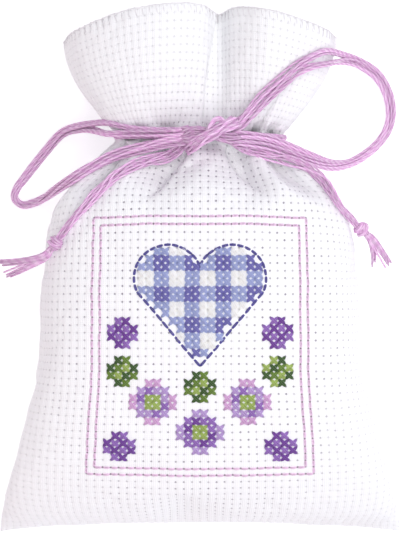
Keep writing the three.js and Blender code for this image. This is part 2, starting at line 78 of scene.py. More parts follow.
def smooth(value: np.ndarray, low: float, high: float) -> np.ndarray:
    """An even S-shaped rise from 0 at low to 1 at high."""
    t = np.clip((np.asarray(value, float) - low) / (high - low), 0, 1)
    return t * t * (3 - 2 * t)


def blend(first: float, second: float, share: float) -> float:
    """A value between two others."""
    return first + (second - first) * share


def reach_along(line: np.ndarray) -> np.ndarray:
    """Distance from the start of a line to each of its points."""
    return np.concatenate([[0.0], np.cumsum(np.linalg.norm(np.diff(line, axis=0), axis=1))])


def at_reach(line: np.ndarray, want: np.ndarray) -> np.ndarray:
    """Points of a line at given distances from its start."""
    reach = reach_along(line)
    return np.stack([np.interp(want, reach, line[:, j]) for j in range(3)], -1)


def evened(values: np.ndarray, reach: int) -> np.ndarray:
    """Values averaged over that many neighbours on either side."""
    even = np.ones(2 * reach + 1) / (2 * reach + 1)
    return np.convolve(np.pad(values, reach, mode="edge"), even, "valid")


class Wire:
    """A value in a shader, a socket or a number, whose arithmetic adds Math nodes."""

    def __init__(self, shader: "Shader", value: "bpy.types.NodeSocket | float") -> None:
        """Holds one socket or number of a shader."""
        self.shader = shader
        self.value = value

    def math(self, operation: str, other: "Wire | float" = 0.0, swap: bool = False) -> "Wire":
        """One Math node on this value.

        Args:
            operation: The Math node's operation.
            other: The second value.
            swap: Whether the second value comes first.

        Returns:
            The result as a new value.
        """
        pair = [self.value, other.value if isinstance(other, Wire) else other]
        if swap:
            pair.reverse()
        node = self.shader.node("ShaderNodeMath", {"operation": operation}, {0: pair[0], 1: pair[1]})
        return Wire(self.shader, node.outputs[0])

    def __add__(self, other: "Wire | float") -> "Wire":
        """Sum."""
        return self.math("ADD", other)

    __radd__ = __add__

    def __sub__(self, other: "Wire | float") -> "Wire":
        """Difference."""
        return self.math("SUBTRACT", other)

    def __rsub__(self, other: "Wire | float") -> "Wire":
        """Difference from a number."""
        return self.math("SUBTRACT", other, swap=True)

    def __mul__(self, other: "Wire | float") -> "Wire":
        """Product."""
        return self.math("MULTIPLY", other)

    __rmul__ = __mul__

    def __abs__(self) -> "Wire":
        """Size without sign."""
        return self.math("ABSOLUTE")

    def sine(self) -> "Wire":
        """Sine of an angle in radians."""
        return self.math("SINE")

    def fraction(self) -> "Wire":
        """What is left after whole numbers."""
        return self.math("FRACT")

    def least(self, other: "Wire | float") -> "Wire":
        """The smaller of two values."""
        return self.math("MINIMUM", other)

    def rise(self, low: float, high: float) -> "Wire":
        """A smooth step.

        Args:
            low: Where it is 0.
            high: Where it is 1, which may lie below low.

        Returns:
            The step as a new value.
        """
        sockets = {"Value": self.value, "From Min": low, "From Max": high, "To Min": 0.0, "To Max": 1.0}
        node = self.shader.node("ShaderNodeMapRange", {"interpolation_type": "SMOOTHSTEP"}, sockets)
        return Wire(self.shader, node.outputs["Result"])


class Shader:
    """A procedural material under construction, round one Principled node."""

    def __init__(self, name: str, constants: dict[str, object]) -> None:
        """Starts a material.

        Args:
            name: The material's name.
            constants: Values of the Principled node's sockets that are the same all over.
        """
        self.material = bpy.data.materials.new(name)
        self.material.use_nodes = True
        self.tree = self.material.node_tree
        self.tree.nodes.clear()
        output = self.node("ShaderNodeOutputMaterial", {}, {})
        self.principled = self.node("ShaderNodeBsdfPrincipled", {}, constants)
        self.tree.links.new(self.principled.outputs[0], output.inputs["Surface"])

    def node(self, kind: str, settings: dict[str, object], sockets: dict[object, object]) -> bpy.types.Node:
        """Adds any node.

        Args:
            kind: The node's type.
            settings: Its properties, set first.
            sockets: Values or links of its inputs, by name or number.

        Returns:
            The new node.
        """
        node = self.tree.nodes.new(kind)
        for key, value in settings.items():
            setattr(node, key, value)
        for key, value in sockets.items():
            self.feed(node.inputs[key], value)
        return node

    def feed(self, socket: bpy.types.NodeSocket, value: object) -> None:
        """Sets a socket to a constant or links a value to it.

        Args:
            socket: The input.
            value: A number, a colour, a socket or a wire.
        """
        value = value.value if isinstance(value, Wire) else value
        if isinstance(value, bpy.types.NodeSocket):
            self.tree.links.new(value, socket)
        elif socket.type == "RGBA" and len(value) == 3:
            socket.default_value = (*value, 1.0)
        else:
            socket.default_value = value

    def pattern(self, layer: str) -> tuple[Wire, Wire]:
        """The two coordinates of one of the piece's own UV maps.

        Args:
            layer: The map's name.

        Returns:
            The first and the second coordinate.
        """
        place = self.node("ShaderNodeUVMap", {"uv_map": layer}, {}).outputs[0]
        split = self.node("ShaderNodeSeparateXYZ", {}, {0: place})
        return Wire(self, split.outputs[0]), Wire(self, split.outputs[1])

    def attribute(self, name: str) -> bpy.types.Node:
        """The node that reads one of the piece's own attributes."""
        return self.node("ShaderNodeAttribute", {"attribute_type": "GEOMETRY", "attribute_name": name}, {})

    def noise(self, scale: float, detail: float) -> Wire:
        """Soft noise on Object coordinates.

        Args:
            scale: Grains to a metre.
            detail: How many finer layers it has.

        Returns:
            A value from 0 to 1.
        """
        place = self.node("ShaderNodeTexCoord", {}, {}).outputs["Object"]
        sockets = {"Vector": place, "Scale": scale, "Detail": detail}
        return Wire(self, self.node("ShaderNodeTexNoise", {}, sockets).outputs[0])

    def mix(self, share: Wire, first: object, second: object) -> bpy.types.NodeSocket:
        """A colour between two colours."""
        return self.node("ShaderNodeMix", {"data_type": "RGBA"}, {0: share, 6: first, 7: second}).outputs[2]

    def shaded(self, colour: object, share: Wire) -> bpy.types.NodeSocket:
        """A colour times a grey value.

        Args:
            colour: The colour.
            share: The grey value.

        Returns:
            The product.
        """
        grey = self.node("ShaderNodeCombineColor", {}, {0: share, 1: share, 2: share}).outputs[0]
        settings = {"data_type": "RGBA", "blend_type": "MULTIPLY"}
        return self.node("ShaderNodeMix", settings, {0: 1.0, 6: colour, 7: grey}).outputs[2]

    def relief(self, height: Wire, depth: float) -> None:
        """Feeds a bump of that depth in metres to the normal."""
        bump = self.node("ShaderNodeBump", {}, {"Strength": 1.0, "Distance": depth, "Height": height})
        self.feed(self.principled.inputs["Normal"], bump.outputs[0])

    def surface(self, **values: object) -> bpy.types.Material:
        """Feeds the named Principled sockets, underscores for spaces, and returns the material."""
        for key, value in values.items():
            self.feed(self.principled.inputs[key.replace("_", " ")], value)
        return self.material


@dataclass(frozen=True)
class ClothFinish:
    """Bleached counted cotton: woven blocks with a small soft hole at every corner of a square."""

    white: RGB = srgb(249, 250, 251)
    # hole: colour of each hole, the open weave with painted shade down in it
    hole: RGB = srgb(128, 120, 136)
    hole_reach: float = 0.17
    hole_core: float = 0.003
    belly: tuple[float, float, float] = (24.0, 36.0, 34.0)
    belly_edge: tuple[float, float] = (1.1, 0.2)
    groove_edge: tuple[float, float] = (0.12, 0.02)
    thread_count: int = 4
    opening_grain: float = 420.0
    fibre_grain: float = 9000.0
    relief_depth: float = 0.0001

    def material(self) -> bpy.types.Material:
        """The cloth's material, on the map that counts squares."""
        shader = Shader("counted_cloth", {"Roughness": 0.92, "Specular IOR Level": 0.15, "Sheen Weight": 0.1})
        across, along = shader.pattern("squares")
        near_x = abs((across + 0.5).fraction() - 0.5)
        near_y = abs((along + 0.5).fraction() - 0.5)
        hole = (near_x * near_x + near_y * near_y).rise(self.hole_reach**2, self.hole_core)
        half_wide, half_long, middle = self.belly
        beside, beyond = across * (1 / half_wide), (along - middle) * (1 / half_long)
        # the holes' painted shade is strongest over the middle of the belly and fades towards the sides, the
        # bottom and the frill, unevenly by noise
        stretched = (beside * beside + beyond * beyond).rise(*self.belly_edge)
        uneven = shader.noise(self.opening_grain, 1).rise(0.25, 0.75) * 0.7 + 0.3
        hole_strength = uneven * (stretched * 0.85 + 0.15)
        groove = near_x.least(near_y).rise(*self.groove_edge)
        turn = math.pi * self.thread_count
        warp = abs((across * turn).sine())
        weft = abs((along * turn).sine())
        fibre = shader.noise(self.fibre_grain, 2)
        # painted shade down in each hole and along the grooves between the blocks, with the fibre's own
        # uneven tone
        hole_groove_shade_and_fibre = (hole * hole_strength * 0.85 + groove * 0.025 + fibre * 0.03).least(1.0)
        height = warp * 0.35 + weft * 0.25 - hole * 0.8 - groove * 0.12 + fibre * 0.15
        shader.relief(height, self.relief_depth)
        return shader.surface(Base_Color=shader.mix(hole_groove_shade_and_fibre, self.white, self.hole))


def plies(along: Wire, around: Wire, per_mm: float, turns: int) -> Wire:
    """Ridges, from 0 to 1, that wind along and round a strand."""
    return ((along * per_mm + around * turns) * FULL_TURN).sine() * 0.5 + 0.5


@dataclass(frozen=True)
class CottonFinish:
    """Stranded cotton: fine plies laid in a slow twist, with a little sheen."""

    name: str
    # light and deep: the cotton's colour as painted highlight on its ply ridges and painted shade in the
    # grooves between them
    light: RGB
    deep: RGB
    twist_per_mm: float = 0.5
    fine_pitch: float = 2.3
    sheen: float = 0.12
    fibre_grain: float = 5000.0
    relief_depth: float = 0.00012

    def material(self) -> bpy.types.Material:
        """The thread's material, on the map that runs along and round each strand."""
        constants = {"Specular IOR Level": 0.3, "Sheen Weight": self.sheen, "Sheen Roughness": 0.4}
        shader = Shader(self.name, constants)
        along, around = shader.pattern("strand")
        ply = plies(along, around, self.twist_per_mm, 2)
        fine = plies(along, around, self.twist_per_mm * self.fine_pitch, 7)
        fibre = shader.noise(self.fibre_grain, 3)
        # per-strand brightness: a random tone, times painted light on the right loop and painted shade on the
        # knot's core
        tone = Wire(shader, shader.attribute("tone").outputs["Fac"])
        # painted highlight on the ply ridges and painted shade in the grooves between plies; the fibre noise
        # is the cotton's own uneven tone
        depth = ((1 - ply) * 0.4 + (1 - fine) * 0.15 + fibre * 0.4) * 0.9
        colour = shader.mix(depth.least(1.0), self.light, self.deep)
        shader.relief(ply * 0.7 + fine * 0.3 + fibre * 0.2, self.relief_depth)
        return shader.surface(Base_Color=shader.shaded(colour, tone), Roughness=0.5 + fibre * 0.25)


@dataclass(frozen=True)
class DyedFinish:
    """Embroidery cotton whose colour, with painted shade at the stitch ends, each stitch carries with it; the
    grooves between its plies are painted darker.
    """

    name: str
    twist_per_mm: float = 0.9
    fibre_grain: float = 6000.0
    relief_depth: float = 0.0001

    def material(self) -> bpy.types.Material:
        """The stitch's material, on its own colour and on the map along its strands."""
        shader = Shader(self.name, {"Specular IOR Level": 0.3, "Sheen Weight": 0.2, "Sheen Roughness": 0.4})
        along, around = shader.pattern("strand")
        ply = plies(along, around, self.twist_per_mm, 2)
        fibre = shader.noise(self.fibre_grain, 2)
        # the stitch's colour, with painted shade at its ends where they go down into the holes
        dye = shader.attribute("dye").outputs["Color"]
        shader.relief(ply * 0.8 + fibre * 0.3, self.relief_depth)
        # painted shade in the grooves between plies, times the fibre's own uneven tone
        ply_shade_and_fibre = 0.86 + ply * 0.13 + fibre * 0.08
        return shader.surface(Base_Color=shader.shaded(dye, ply_shade_and_fibre), Roughness=0.52 + fibre * 0.2)


@dataclass(frozen=True)
class LavenderFinish:
    """Dried flower heads: dull violet husks with straw and grey between."""

    husk: RGB = srgb(86, 74, 108)
    petal: RGB = srgb(140, 124, 160)
    straw: RGB = srgb(160, 146, 120)
    flower_grain: float = 900.0
    stem_grain: float = 260.0
    relief_depth: float = 0.0006

    def material(self) -> bpy.types.Material:
        """The filling's material."""
        shader = Shader("dried_lavender", {"Specular IOR Level": 0.2})
        grain = shader.noise(self.flower_grain, 3)
        stems = shader.noise(self.stem_grain, 2).rise(0.55, 0.7)
        violet = shader.mix(grain.rise(0.35, 0.65), self.husk, self.petal)
        shader.relief(grain, self.relief_depth)
        colour = shader.mix(stems, violet, self.straw)
        return shader.surface(Base_Color=colour, Roughness=0.8 + grain * 0.2)


class TubeBatch:
    """Thin round strands gathered into one mesh, each with its own colour and brightness: a random tone and,
    on some cords, painted light or shade.
    """

    def __init__(self) -> None:
        """Starts empty."""
        self.points: list[np.ndarray] = []
        self.quads: list[np.ndarray] = []
        self.caps: list[np.ndarray] = []
        self.maps: list[np.ndarray] = []
        self.tones_and_painted_light: list[np.ndarray] = []
        self.dyes: list[np.ndarray] = []
        self.count = 0

    @staticmethod
    def frames(path: np.ndarray, up: np.ndarray) -> tuple[np.ndarray, np.ndarray]:
        """Two directions across a path at each of its points.

        Args:
            path: The points.
            up: A direction away from what the strand lies on, or one for each point.

        Returns:
            The sideways and upward directions.
        """
        ahead = unit(np.gradient(path, axis=0))
        side = unit(np.cross(ahead, up))
        return side, np.cross(side, ahead)

    @staticmethod
    def carried(path: np.ndarray) -> np.ndarray:
        """An upward direction carried along a path that turns any way.

        Args:
            path: The points.

        Returns:
            One direction for each point.
        """
        ahead = unit(np.gradient(path, axis=0))
        up = np.zeros_like(path)
        guess = UP if abs(ahead[0][2]) < 0.9 else np.array([1.0, 0.0, 0.0])
        for k, forward in enumerate(ahead):
            guess = unit(guess - forward * guess.dot(forward))
            up[k] = guess
        return up

    def add(self, path: np.ndarray, radius: "np.ndarray | float", sides: int, tone: float = 1.0,
            dye: "np.ndarray | RGB" = (1.0, 1.0, 1.0), up: np.ndarray | None = None) -> None:
        """Adds one strand with flat ends.

        Args:
            path: Its centre line, in metres.
            radius: Its radius, or one for each point.
            sides: Sides of its section, the same for all strands of a batch.
            tone: Brightness of this strand, a random tone times any painted light or shade of its cord.
            dye: Colour of this strand, or one for each point; on stitches its ends hold painted shade.
            up: Direction away from what it lies on, or None to carry one along.
        """
        side, over = self.frames(path, self.carried(path) if up is None else up)
        turn = np.arange(sides) * FULL_TURN / sides
        ring = side[:, None] * np.cos(turn)[None, :, None] + over[:, None] * np.sin(turn)[None, :, None]
        thick = np.broadcast_to(np.asarray(radius, float), (len(path),))
        points = (path[:, None] + ring * thick[:, None, None]).reshape(-1, 3)
        k, s = np.meshgrid(np.arange(len(path) - 1), np.arange(sides), indexing="ij")
        n = (s + 1) % sides
        corners = [k * sides + s, (k + 1) * sides + s, (k + 1) * sides + n, k * sides + n]
        reach = reach_along(path) / MM
        round_a, round_b = s / sides, (s + 1) / sides
        places = [reach[k], round_a, reach[k + 1], round_a, reach[k + 1], round_b, reach[k], round_b]
        self.points.append(points)
        self.quads.append(np.stack(corners, -1).reshape(-1, 4) + self.count)
        self.maps.append(np.stack(places, -1).reshape(-1, 2))
        first = self.count + np.arange(sides)
        self.caps += [first, first[::-1] + (len(path) - 1) * sides]
        self.tones_and_painted_light.append(np.full(len(points), tone))
        dyed = np.broadcast_to(np.asarray(dye, float), (len(path), 3))
        self.dyes.append(np.repeat(np.pad(dyed, ((0, 0), (0, 1)), constant_values=1.0), sides, axis=0))
        self.count += len(points)

    def build(self, node: str, ending: str, slot: str, material: bpy.types.Material) -> bpy.types.Object:
        """Makes the piece that stands for a node.

        Args:
            node: The CAD node.
            ending: What the piece's name has after the node's.
            slot: The record's material slot.
            material: Its material.

        Returns:
            The new piece.
        """
        caps = np.array(self.caps)
        faces = [np.concatenate(self.quads), caps]
        piece = mesh_object(f"{node}_{ending}", np.concatenate(self.points), faces, material)
        put_map(piece, "strand", np.concatenate([*self.maps, np.zeros((caps.size, 2))]))
        tone = piece.data.attributes.new("tone", "FLOAT", "POINT")
        tone.data.foreach_set("value", np.concatenate(self.tones_and_painted_light).astype(np.float32))
        dye = piece.data.attributes.new("dye", "FLOAT_COLOR", "POINT")
        dye.data.foreach_set("color", np.concatenate(self.dyes).astype(np.float32).ravel())
        return settle(piece, slot, node)


def mesh_object(name: str, points: np.ndarray, polygons: list[np.ndarray],
                material: bpy.types.Material) -> bpy.types.Object:
    """A smooth-shaded mesh object at the origin.

    Args:
        name: The object's name.
        points: Its vertices, in metres.
        polygons: Arrays of faces, each array with faces of one size.
        material: Its material.

    Returns:
        The new object, linked to the scene.
    """
    mesh = bpy.data.meshes.new(name)
    mesh.vertices.add(len(points))
    mesh.vertices.foreach_set("co", np.asarray(points, np.float32).ravel())
    sizes = np.concatenate([np.full(len(p), p.shape[1]) for p in polygons])
    mesh.loops.add(int(sizes.sum()))
    mesh.loops.foreach_set("vertex_index", np.concatenate([p.ravel() for p in polygons]).astype(np.int32))
    mesh.polygons.add(len(sizes))
    mesh.polygons.foreach_set("loop_start", np.concatenate([[0], np.cumsum(sizes)[:-1]]).astype(np.int32))
    mesh.polygons.foreach_set("use_smooth", np.ones(len(sizes), bool))
    mesh.update(calc_edges=True)
    mesh.materials.append(material)
    piece = bpy.data.objects.new(name, mesh)
    bpy.context.scene.collection.objects.link(piece)
    return piece


def middle_of(node: str) -> np.ndarray:
    """The middle of a CAD node's box, in metres."""
    return np.mean([np.array(corner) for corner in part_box(node)], axis=0)


def put_map(piece: bpy.types.Object, name: str, places: np.ndarray) -> None:
    """Gives a piece a UV map, with one place for each corner of its faces."""
    layer = piece.data.uv_layers.new(name=name)
    layer.data.foreach_set("uv", places.astype(np.float32).ravel())


def settle(piece: bpy.types.Object, slot: str, *nodes: str) -> bpy.types.Object:
    """Fixes a piece to the pouch and hides the solids it stands for.

    Args:
        piece: The finished piece.
        slot: The record's material slot; not used.
        *nodes: The CAD nodes that it replaces.

    Returns:
        The same piece.
    """
    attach(piece, "root")
    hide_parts(*nodes)
    LOG.info("%s: %d faces", piece.name, len(piece.data.polygons))
    return piece


@dataclass
class Spline:
    """A smooth curve through points, counted by point number."""

    points: "np.ndarray | Route | list[list[float]]"
    fineness: int = 60

    def __post_init__(self) -> None:
        """Keeps the points as an array."""
        self.points = np.asarray(self.points, float)

    def at(self, number: np.ndarray) -> np.ndarray:
        """Points of the curve.

        Args:
            number: Whole or part point numbers.

        Returns:
            One point for each number.
        """
        p = self.points
        number = np.atleast_1d(np.asarray(number, float))
        k = np.clip(np.floor(number).astype(int), 0, len(p) - 2)
        w = (number - k)[:, None]
        wide = np.vstack([2 * p[0] - p[1], p, 2 * p[-1] - p[-2]])
        a, b, c, d = (wide[k + j] for j in range(4))
        ab, bc, cd = (np.maximum(np.linalg.norm(q - r, axis=1, keepdims=True), 1e-9) ** 0.5
                      for q, r in ((b, a), (c, b), (d, c)))
        out = ((b - a) / ab - (c - a) / (ab + bc) + (c - b) / bc) * bc
        back = ((c - b) / bc - (d - b) / (bc + cd) + (d - c) / cd) * bc
        return ((2 * w**3 - 3 * w**2 + 1) * b + (w**3 - 2 * w**2 + w) * out
                + (3 * w**2 - 2 * w**3) * c + (w**3 - w**2) * back)

    def fine(self) -> np.ndarray:
        """The curve as a close run of points."""
        return self.at(np.linspace(0, len(self.points) - 1, self.fineness * len(self.points)))

    def even(self, count: int) -> np.ndarray:
        """That many points evenly spaced along the curve."""
        line = self.fine()
        return at_reach(line, np.linspace(0, reach_along(line)[-1], count))


class Side(Enum):
    """The two panels of the pouch."""

    FRONT = 1
    BACK = -1


def by_side(front: float, back: float) -> dict[Side, float]:
    """A field that holds one value for each panel."""
    return field(default_factory=lambda: {Side.FRONT: front, Side.BACK: back})


def grid_quads(numbers: np.ndarray, side: Side) -> np.ndarray:
    """Faces of a grid of vertex numbers, turned outwards on either panel."""
    quads = np.stack([numbers[:-1, :-1], numbers[:-1, 1:], numbers[1:, 1:], numbers[1:, :-1]], -1)
    return quads.reshape(-1, 4)[:, :: side.value]


@dataclass
class PouchForm:
    """The filled and tied shape of the pouch, lofted through rows from the bottom seam to the top edge."""

    bottom: float
    base_half: float = 37.6
    belly_half: float = 28.6
    shoulder_half: float = 26.4
    neck_half: float = 15.4
    frill_half: float = 25.8
    body: float = 74.6
    shoulder_length: float = 15.0
    frill: float = 24.2
    corner_drop: float = 6.4
    draw_in: float = 1.6
    belly_height: float = 29.0
    seam_height: float = 13.5
    corner_height: float = 5.0
    bottom_height: float = 8.0
    neck_height: float = 12.5
    neck_thick: float = 11.0
    crest_height: float = 20.0
    frill_corner_height: float = 7.5
    sag: float = 2.0
    fullness: dict[Side, float] = by_side(0.54, 0.5)
    seam_power: float = 1.15
    seam_rows: float = 1.6
    half_columns: int = 27
    neck_row: float = 7.0
    edge_row: float = 10.0
    neck_valleys: tuple[float, ...] = (-24, -18.5, -13, -7, 2, 7.5, 12.5, 18, 24)
    shoulder_valleys: tuple[float, ...] = (-23, -15.5, -6.8, 6.6, 15.8, 23)
    fold_drop: float = 0.75
    least_room: float = 0.6
    least_slope: float = 0.45
    most_power: float = 2.0
    crease: float = 0.03
    neck_spread: float = 0.6
    shoulder_rows: tuple[float, float, float, float] = (0.1, 0.7, 1.4, 2.6)
    smooth_sides: tuple[float, float] = (0.62, 0.9)
    most_slope: float = 6.0
    most_fold: tuple[float, float] = (0.8, 0.2)
    even_reach: int = 20
    folds_end: dict[Side, float] = by_side(0.14, 0.4)
    back_rise: float = 5.0
    puff: dict[Side, float] = by_side(2.0, 0.0)
    early_flare: float = 0.9
    held_by_tie: float = 0.05
    front_edge: Shares = (
        (-1, 1, 0), (-0.84, 0.65, 0.66), (-0.56, 0.22, 0.97), (-0.25, 0, 1), (-0.02, 0, 0.75),
        (0.13, 0.27, 0.37), (0.29, 0.08, 0.72), (0.5, 0.17, 0.96), (0.82, 0.55, 0.66), (1, 0.87, 0),
    )
    back_edge: Shares = (
        (-1, 1, 0), (-0.78, 0.84, -0.25), (-0.5, 0.69, 0), (-0.23, 0.6, -0.25), (0.04, 0.6, 0.04),
        (0.31, 0.6, -0.25), (0.54, 0.69, 0), (0.78, 0.8, -0.25), (1, 0.87, 0),
    )

    def __post_init__(self) -> None:
        """Lays out the rows, in millimetres from the bottom corners."""
        shoulder = self.body - self.shoulder_length
        high = self.neck_height + self.neck_thick / 2
        low = self.neck_height - self.neck_thick / 2
        self.seam = Spline([
            self.side_row(0, 0, 0),
            self.side_row(0.1, 0.08, 0.35),
            self.side_row(0.42, 0.21, 0.75),
            self.side_row(0.85, 0.42, 1),
            self.side_row(1, 0.64, 1),
            [self.shoulder_half, shoulder, self.seam_height],
            [blend(self.shoulder_half, self.neck_half, 0.6), blend(shoulder, self.body, 0.6),
             blend(self.seam_height, self.neck_height, 0.5)],
            [self.neck_half, self.body, self.neck_height],
            [blend(self.neck_half, self.frill_half, 0.3), self.body + 0.2 * self.frill,
             blend(self.neck_height, self.frill_corner_height, 0.12)],
        ])
        rise, belly = self.bottom_height, self.belly_height
        self.spine = {
            Side.FRONT: Spline([
                [0, self.draw_in, rise],
                [0, 0.06 * self.body, blend(rise, belly, 0.36)],
                [0, 0.19 * self.body, blend(rise, belly, 0.74)],
                [0, 0.42 * self.body, blend(rise, belly, 0.96)],
                [0, 0.64 * self.body, belly],
                [0, shoulder + 2, blend(high, belly, 0.8)],
                [0, blend(shoulder, self.body, 0.65), blend(high, belly, 0.3)],
                [0, self.body, high],
                [0, self.body + 0.2 * self.frill, blend(high, self.crest_height, 0.1)],
            ]),
            Side.BACK: Spline([
                [0, self.draw_in, rise],
                [0, 0.08 * self.body, 1.6],
                [0, 0.2 * self.body, -self.sag],
                [0, 0.42 * self.body, -self.sag],
                [0, 0.64 * self.body, -self.sag],
                [0, shoulder + 2, 0.2],
                [0, blend(shoulder, self.body, 0.65), 0.55 * low],
                [0, self.body, low],
                [0, self.body + 0.2 * self.frill, blend(low, 1.2, 0.12)],
            ]),
        }
        edges = {Side.FRONT: self.front_edge, Side.BACK: self.back_edge}
        self.edge = {side: self.top_edge(shares) for side, shares in edges.items()}
        self.numbers = np.linspace(0, self.edge_row, 600)
        self.reach = reach_along(self.centre_line()) / SQUARE
        self.squares_long = float(self.reach[-1])

    def side_row(self, width: float, length: float, height: float) -> list[float]:
        """A point of the side seam, by its shares of the way in, of the body's length and of the rise."""
        return [blend(self.base_half, self.belly_half, width), length * self.body,
                blend(self.corner_height, self.seam_height, height)]

    def top_edge(self, shares: Shares) -> np.ndarray:
        """The line of a panel's top edge.

        Args:
            shares: Shares of the frill's half width, of its corners' drop and of its crest's rise.

        Returns:
            A close run of points, in millimetres.
        """
        top = self.body + self.frill
        return Spline([
            [width * self.frill_half, top - drop * self.corner_drop,
             blend(self.frill_corner_height, self.crest_height, lift)]
            for width, drop, lift in shares
        ]).fine()

    def flared(self, reach: np.ndarray) -> np.ndarray:
        """How far a row above the neck has opened out, sideways, along and upwards.

        Args:
            reach: Share of the way from the neck to the top edge.

        Returns:
            The shares of the three axes.
        """
        free = np.clip((reach - self.held_by_tie) / (1 - self.held_by_tie), 0, 1)
        flare = free + self.early_flare * free * (1 - free)
        return np.stack([flare, reach, flare], -1)

    def centre_line(self) -> np.ndarray:
        """The middle of the front panel, from the bottom seam to the top edge."""
        body = self.spine[Side.FRONT].at(np.minimum(self.numbers, self.neck_row))
        edge = self.spaced(self.edge[Side.FRONT], np.zeros(1))
        reach = np.clip((self.numbers - self.neck_row) / (self.edge_row - self.neck_row), 0, 1)
        return body + (edge - body) * self.flared(reach)

    def row_at(self, along: np.ndarray) -> np.ndarray:
        """Row numbers of places that many squares up from the bottom seam."""
        return np.interp(along, self.reach, self.numbers)

    def grid(self, side: Side, across: np.ndarray, along: np.ndarray) -> np.ndarray:
        """Points of one panel, folded so that its width round the neck stays that of the flat cloth.

        Args:
            side: The panel.
            across: Squares from the centre line.
            along: Squares from the bottom seam.

        Returns:
            Points in millimetres, by row and column.
        """
        share = across / self.half_columns
        neck = self.section(side, share, self.neck_row, folded=False)
        folds = self.section(side, share, self.neck_row) - neck
        edge = self.spaced(self.edge[side], share)
        puff = np.stack([0 * share, 0 * share, 4 * self.puff[side] * (1 - share**2)], -1)
        rows = []
        for row in self.row_at(along):
            reach = np.array((row - self.neck_row) / (self.edge_row - self.neck_row))
            if reach > 0:
                open_out = neck + (edge - neck) * self.flared(reach) + puff * reach * (1 - reach)
                rows.append(open_out + folds * (1 - smooth(reach, 0, self.folds_end[side])))
            else:
                rows.append(self.section(side, share, row))
        return np.array(rows)

    @staticmethod
    def spaced(line: np.ndarray, share: np.ndarray) -> np.ndarray:
        """Points at even shares, from -1 to 1, of a line's length."""
        return at_reach(line, (0.5 + share / 2) * reach_along(line)[-1])

    def section(self, side: Side, share: np.ndarray, row: float, folded: bool = True) -> np.ndarray:
        """One row of points from the bottom seam to the neck.

        Args:
            side: The panel.
            share: Place across the panel, from -1 to 1.
            row: The row's number.
            folded: Whether its spare cloth lies in folds.

        Returns:
            Points in millimetres.
        """
        turn = np.linspace(math.pi, 0, 241)
        seam, spine = self.seam.at(row)[0], self.spine[side].at(row)[0]
        full = blend(self.seam_power, self.fullness[side], float(smooth(row, 0, self.seam_rows)))
        rise = np.abs(np.sin(turn))[:, None] ** full
        line = seam + (spine - seam) * rise
        line[:, 0] = seam[0] * np.cos(turn)
        half, flat = reach_along(line)[-1] / 2, self.half_columns * SQUARE
        spare = max(1 - half / flat, 1e-6)
        power = min(self.most_power, (1 - self.least_room * (1 - spare)) / spare - 1)
        far = np.abs(share) ** power
        points = at_reach(line, half + share * (1 - spare * far) * max(half, flat))
        return self.pleated(points, share, row, 1 - spare * (1 + power) * far, side) if folded else points

    def pleated(self, points: np.ndarray, share: np.ndarray, row: float, room: np.ndarray,
                side: Side) -> np.ndarray:
        """One row of points with its spare cloth laid in folds.

        Args:
            points: The smooth row.
            share: Place across the panel, from -1 to 1.
            row: The row's number.
            room: Share of its flat width that the cloth has at each point.
            side: The panel.

        Returns:
            The folded row.
        """
        slopes = np.linspace(0, self.most_slope, 200)
        turn = np.cos(np.linspace(0, math.pi, 60))
        stretch = np.sqrt(1 + np.outer(slopes, turn) ** 2).mean(axis=1)
        slope = np.maximum(np.interp(1 / room, stretch, slopes), self.least_slope)
        below = self.neck_row - row
        neck = math.exp(-((below / self.neck_spread) ** 2))
        starts, ends = self.shoulder_rows[:2], self.shoulder_rows[2:]
        shoulder = float(smooth(below, *starts) * (1 - smooth(below, *ends)))
        size = slope * room * self.half_columns * SQUARE / max(math.hypot(shoulder, neck), 1.0)
        shift = size * (neck * self.wave(share, self.neck_valleys)
                        + shoulder * self.wave(share, self.shoulder_valleys))
        shift *= 1 - smooth(np.abs(share), *self.smooth_sides)
        if side is Side.BACK:
            rise = np.minimum(np.abs(shift), self.back_rise * neck)
            return points + UP * rise[:, None]
        normal = unit(np.stack([-np.gradient(points[:, 2]), 0 * share, np.gradient(points[:, 0])], -1))
        steep, least = self.most_fold
        limit = steep * np.abs(points[:, 2] - points[0, 2]) + least
        return points + normal * (limit * np.tanh(shift / limit))[:, None]

    def wave(self, share: np.ndarray, valleys: tuple[float, ...]) -> np.ndarray:
        """A wave of even slope whose low points lie at given columns.

        Args:
            share: Place across the panel, from -1 to 1.
            valleys: Squares from the centre line of the low points.

        Returns:
            Heights of the wave.
        """
        fine = np.linspace(-1.0, 1.0, 401)
        ends = (2 * valleys[0] - valleys[1], *valleys, 2 * valleys[-1] - valleys[-2])
        turns = (2 * np.arange(len(ends)) - 1) * math.pi
        phase = np.interp(fine * self.half_columns, ends, turns)
        rate = evened(np.gradient(phase, fine), self.even_reach)
        pillow = 2 * np.sqrt(np.cos(phase / 2) ** 2 + self.crease) - 1
        return np.interp(share, fine, (pillow - self.fold_drop) / np.maximum(rate, 1.0))


